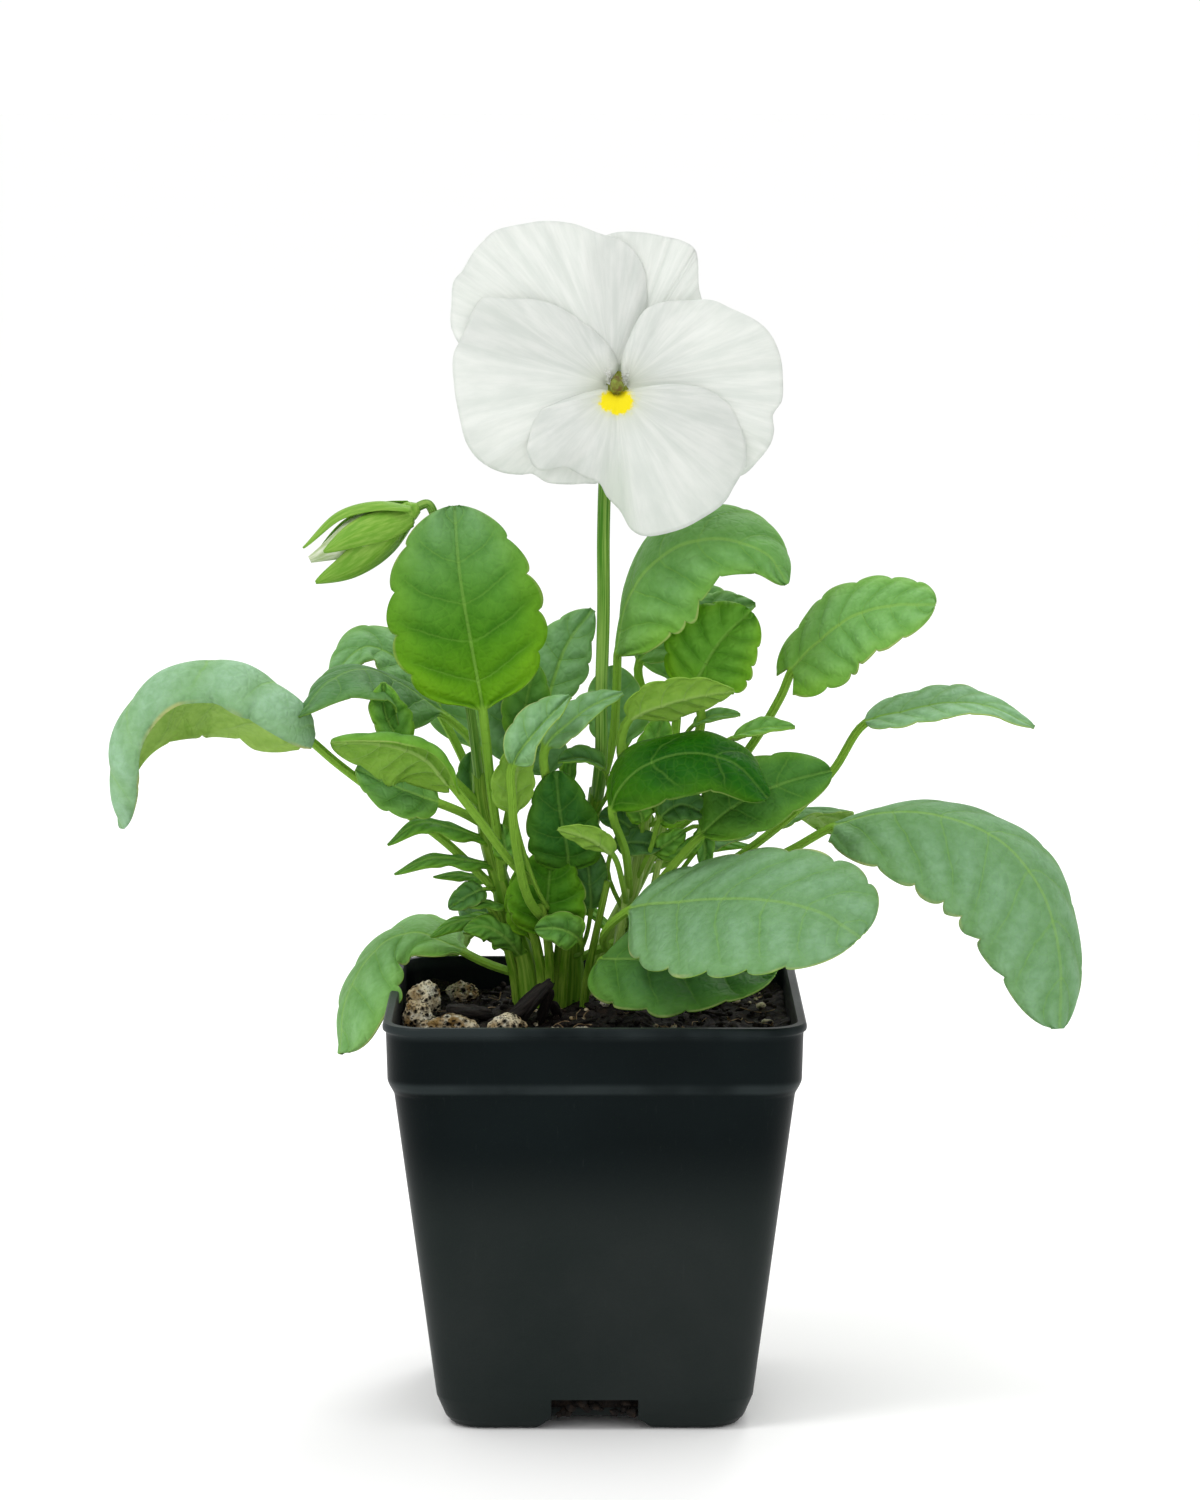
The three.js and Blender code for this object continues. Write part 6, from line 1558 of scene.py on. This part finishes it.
def make_bud():
    route = [(-27, 3, 145), (-28, -2, 156), (-30, -3, 170), (-33, -3, 186), (-35.5, -3, 200),
             (-37, -3.5, 208), (-38.5, -3.5, 210.3), BUD_NECK]
    stalk = tube(route, [1.1, 1.0, 1.0, 1.0], 24, 90, ridges=4, ridge_depth=0.07)
    piece("bud_stalk_grooved", [stalk], [STALK_SKIN], "bud_stalk")
    knob = spindle((-40.5, -3.8, 209.5), (-44.4, -4.2, 207.8), [1.2, 2.4, 2.2])
    blades = [narrow_blade(*row, base=0.22, drop=0.45) for row in BUD_SEPALS]
    piece("bud_sepals", [knob, *blades], [SEPAL_SKIN, SEPAL_SKIN], "bud_stalk")
    radii = [2.2, 3.6, 4.2, 3.6, 2.2, 0.8]
    core = spindle((-45, -4.3, 207.5), BUD_TIP, radii, 60, 60, twist=5.0, folds=3, fold_depth=0.09)
    piece("rolled_bud_petals", [core], [BUD_SKIN], "bud_petals")


# ---------------------------------------------------------------------- the whole part

make_pot()
make_soil()
make_stones()
make_bark()
make_litter()
make_leafy_stems()
make_petals()
make_beard()
make_pistil()
make_flower_stalk()
make_bud()


# ------------------------------------------------------------- floor, light and camera

FLOOR_SIDES = 96
FLOOR_RINGS = (20, 800, 4000, 20000, 90000)
FLOOR_Z = -0.01


def make_floor():
    """A wide round floor."""
    angles = np.linspace(0, 2 * math.pi, FLOOR_SIDES, endpoint=False)
    rings = [[(r * math.cos(a), r * math.sin(a), FLOOR_Z) for a in angles] for r in FLOOR_RINGS]
    faces = quads(len(FLOOR_RINGS), FLOOR_SIDES, ring=True, flip=True) + [list(range(FLOOR_SIDES))]
    mesh = bpy.data.meshes.new("floor")
    mesh.from_pydata((np.reshape(rings, (-1, 3)) * MM).tolist(), [], faces)
    mesh.materials.append(FLOOR_SKIN.material)
    floor = bpy.data.objects.new("floor", mesh)
    bpy.context.scene.collection.objects.link(floor)


WORLD_STRENGTH = 1.02
# Place, aim and size in metres, and power in watts.
LIGHTS = {
    "key_light": ((-0.8, -0.7, 1.8), (0, 0, 0.15), 0.5, 9),
    "back_light": ((0.3, 1.2, 1.5), (0, 0, 0.2), 0.6, 8),
}


def soft_light(name, at, aim, size, watts):
    light = bpy.data.lights.new(name, "AREA")
    light.shape = "DISK"
    light.size = size
    light.energy = watts
    shown = bpy.data.objects.new(name, light)
    shown.location = at
    shown.rotation_euler = (Vector(aim) - Vector(at)).to_track_quat("-Z", "Y").to_euler()
    bpy.context.scene.collection.objects.link(shown)


def make_light():
    world = bpy.data.worlds.new("studio")
    world.use_nodes = True
    background = world.node_tree.nodes["Background"]
    background.inputs["Color"].default_value = (1, 1, 1, 1)
    background.inputs["Strength"].default_value = WORLD_STRENGTH
    bpy.context.scene.world = world
    for name, row in LIGHTS.items():
        soft_light(name, *row)
    bpy.context.scene.view_settings.view_transform = "Standard"


FOCAL = 4930                    # the photograph's focal length in its own pixels
FRAME_HEIGHT = 1500
SENSOR = 36
CAMERA_AT = (0.0012, -1.135, 0.303)
PITCH_DOWN = 7.54


def make_camera():
    camera = bpy.data.cameras.new("camera")
    camera.sensor_width = SENSOR
    camera.lens = FOCAL / FRAME_HEIGHT * SENSOR
    shown = bpy.data.objects.new("camera", camera)
    shown.location = CAMERA_AT
    shown.rotation_euler = (math.radians(90 - PITCH_DOWN), 0, 0)
    bpy.context.scene.collection.objects.link(shown)
    bpy.context.scene.camera = shown


make_floor()
make_light()
make_camera()
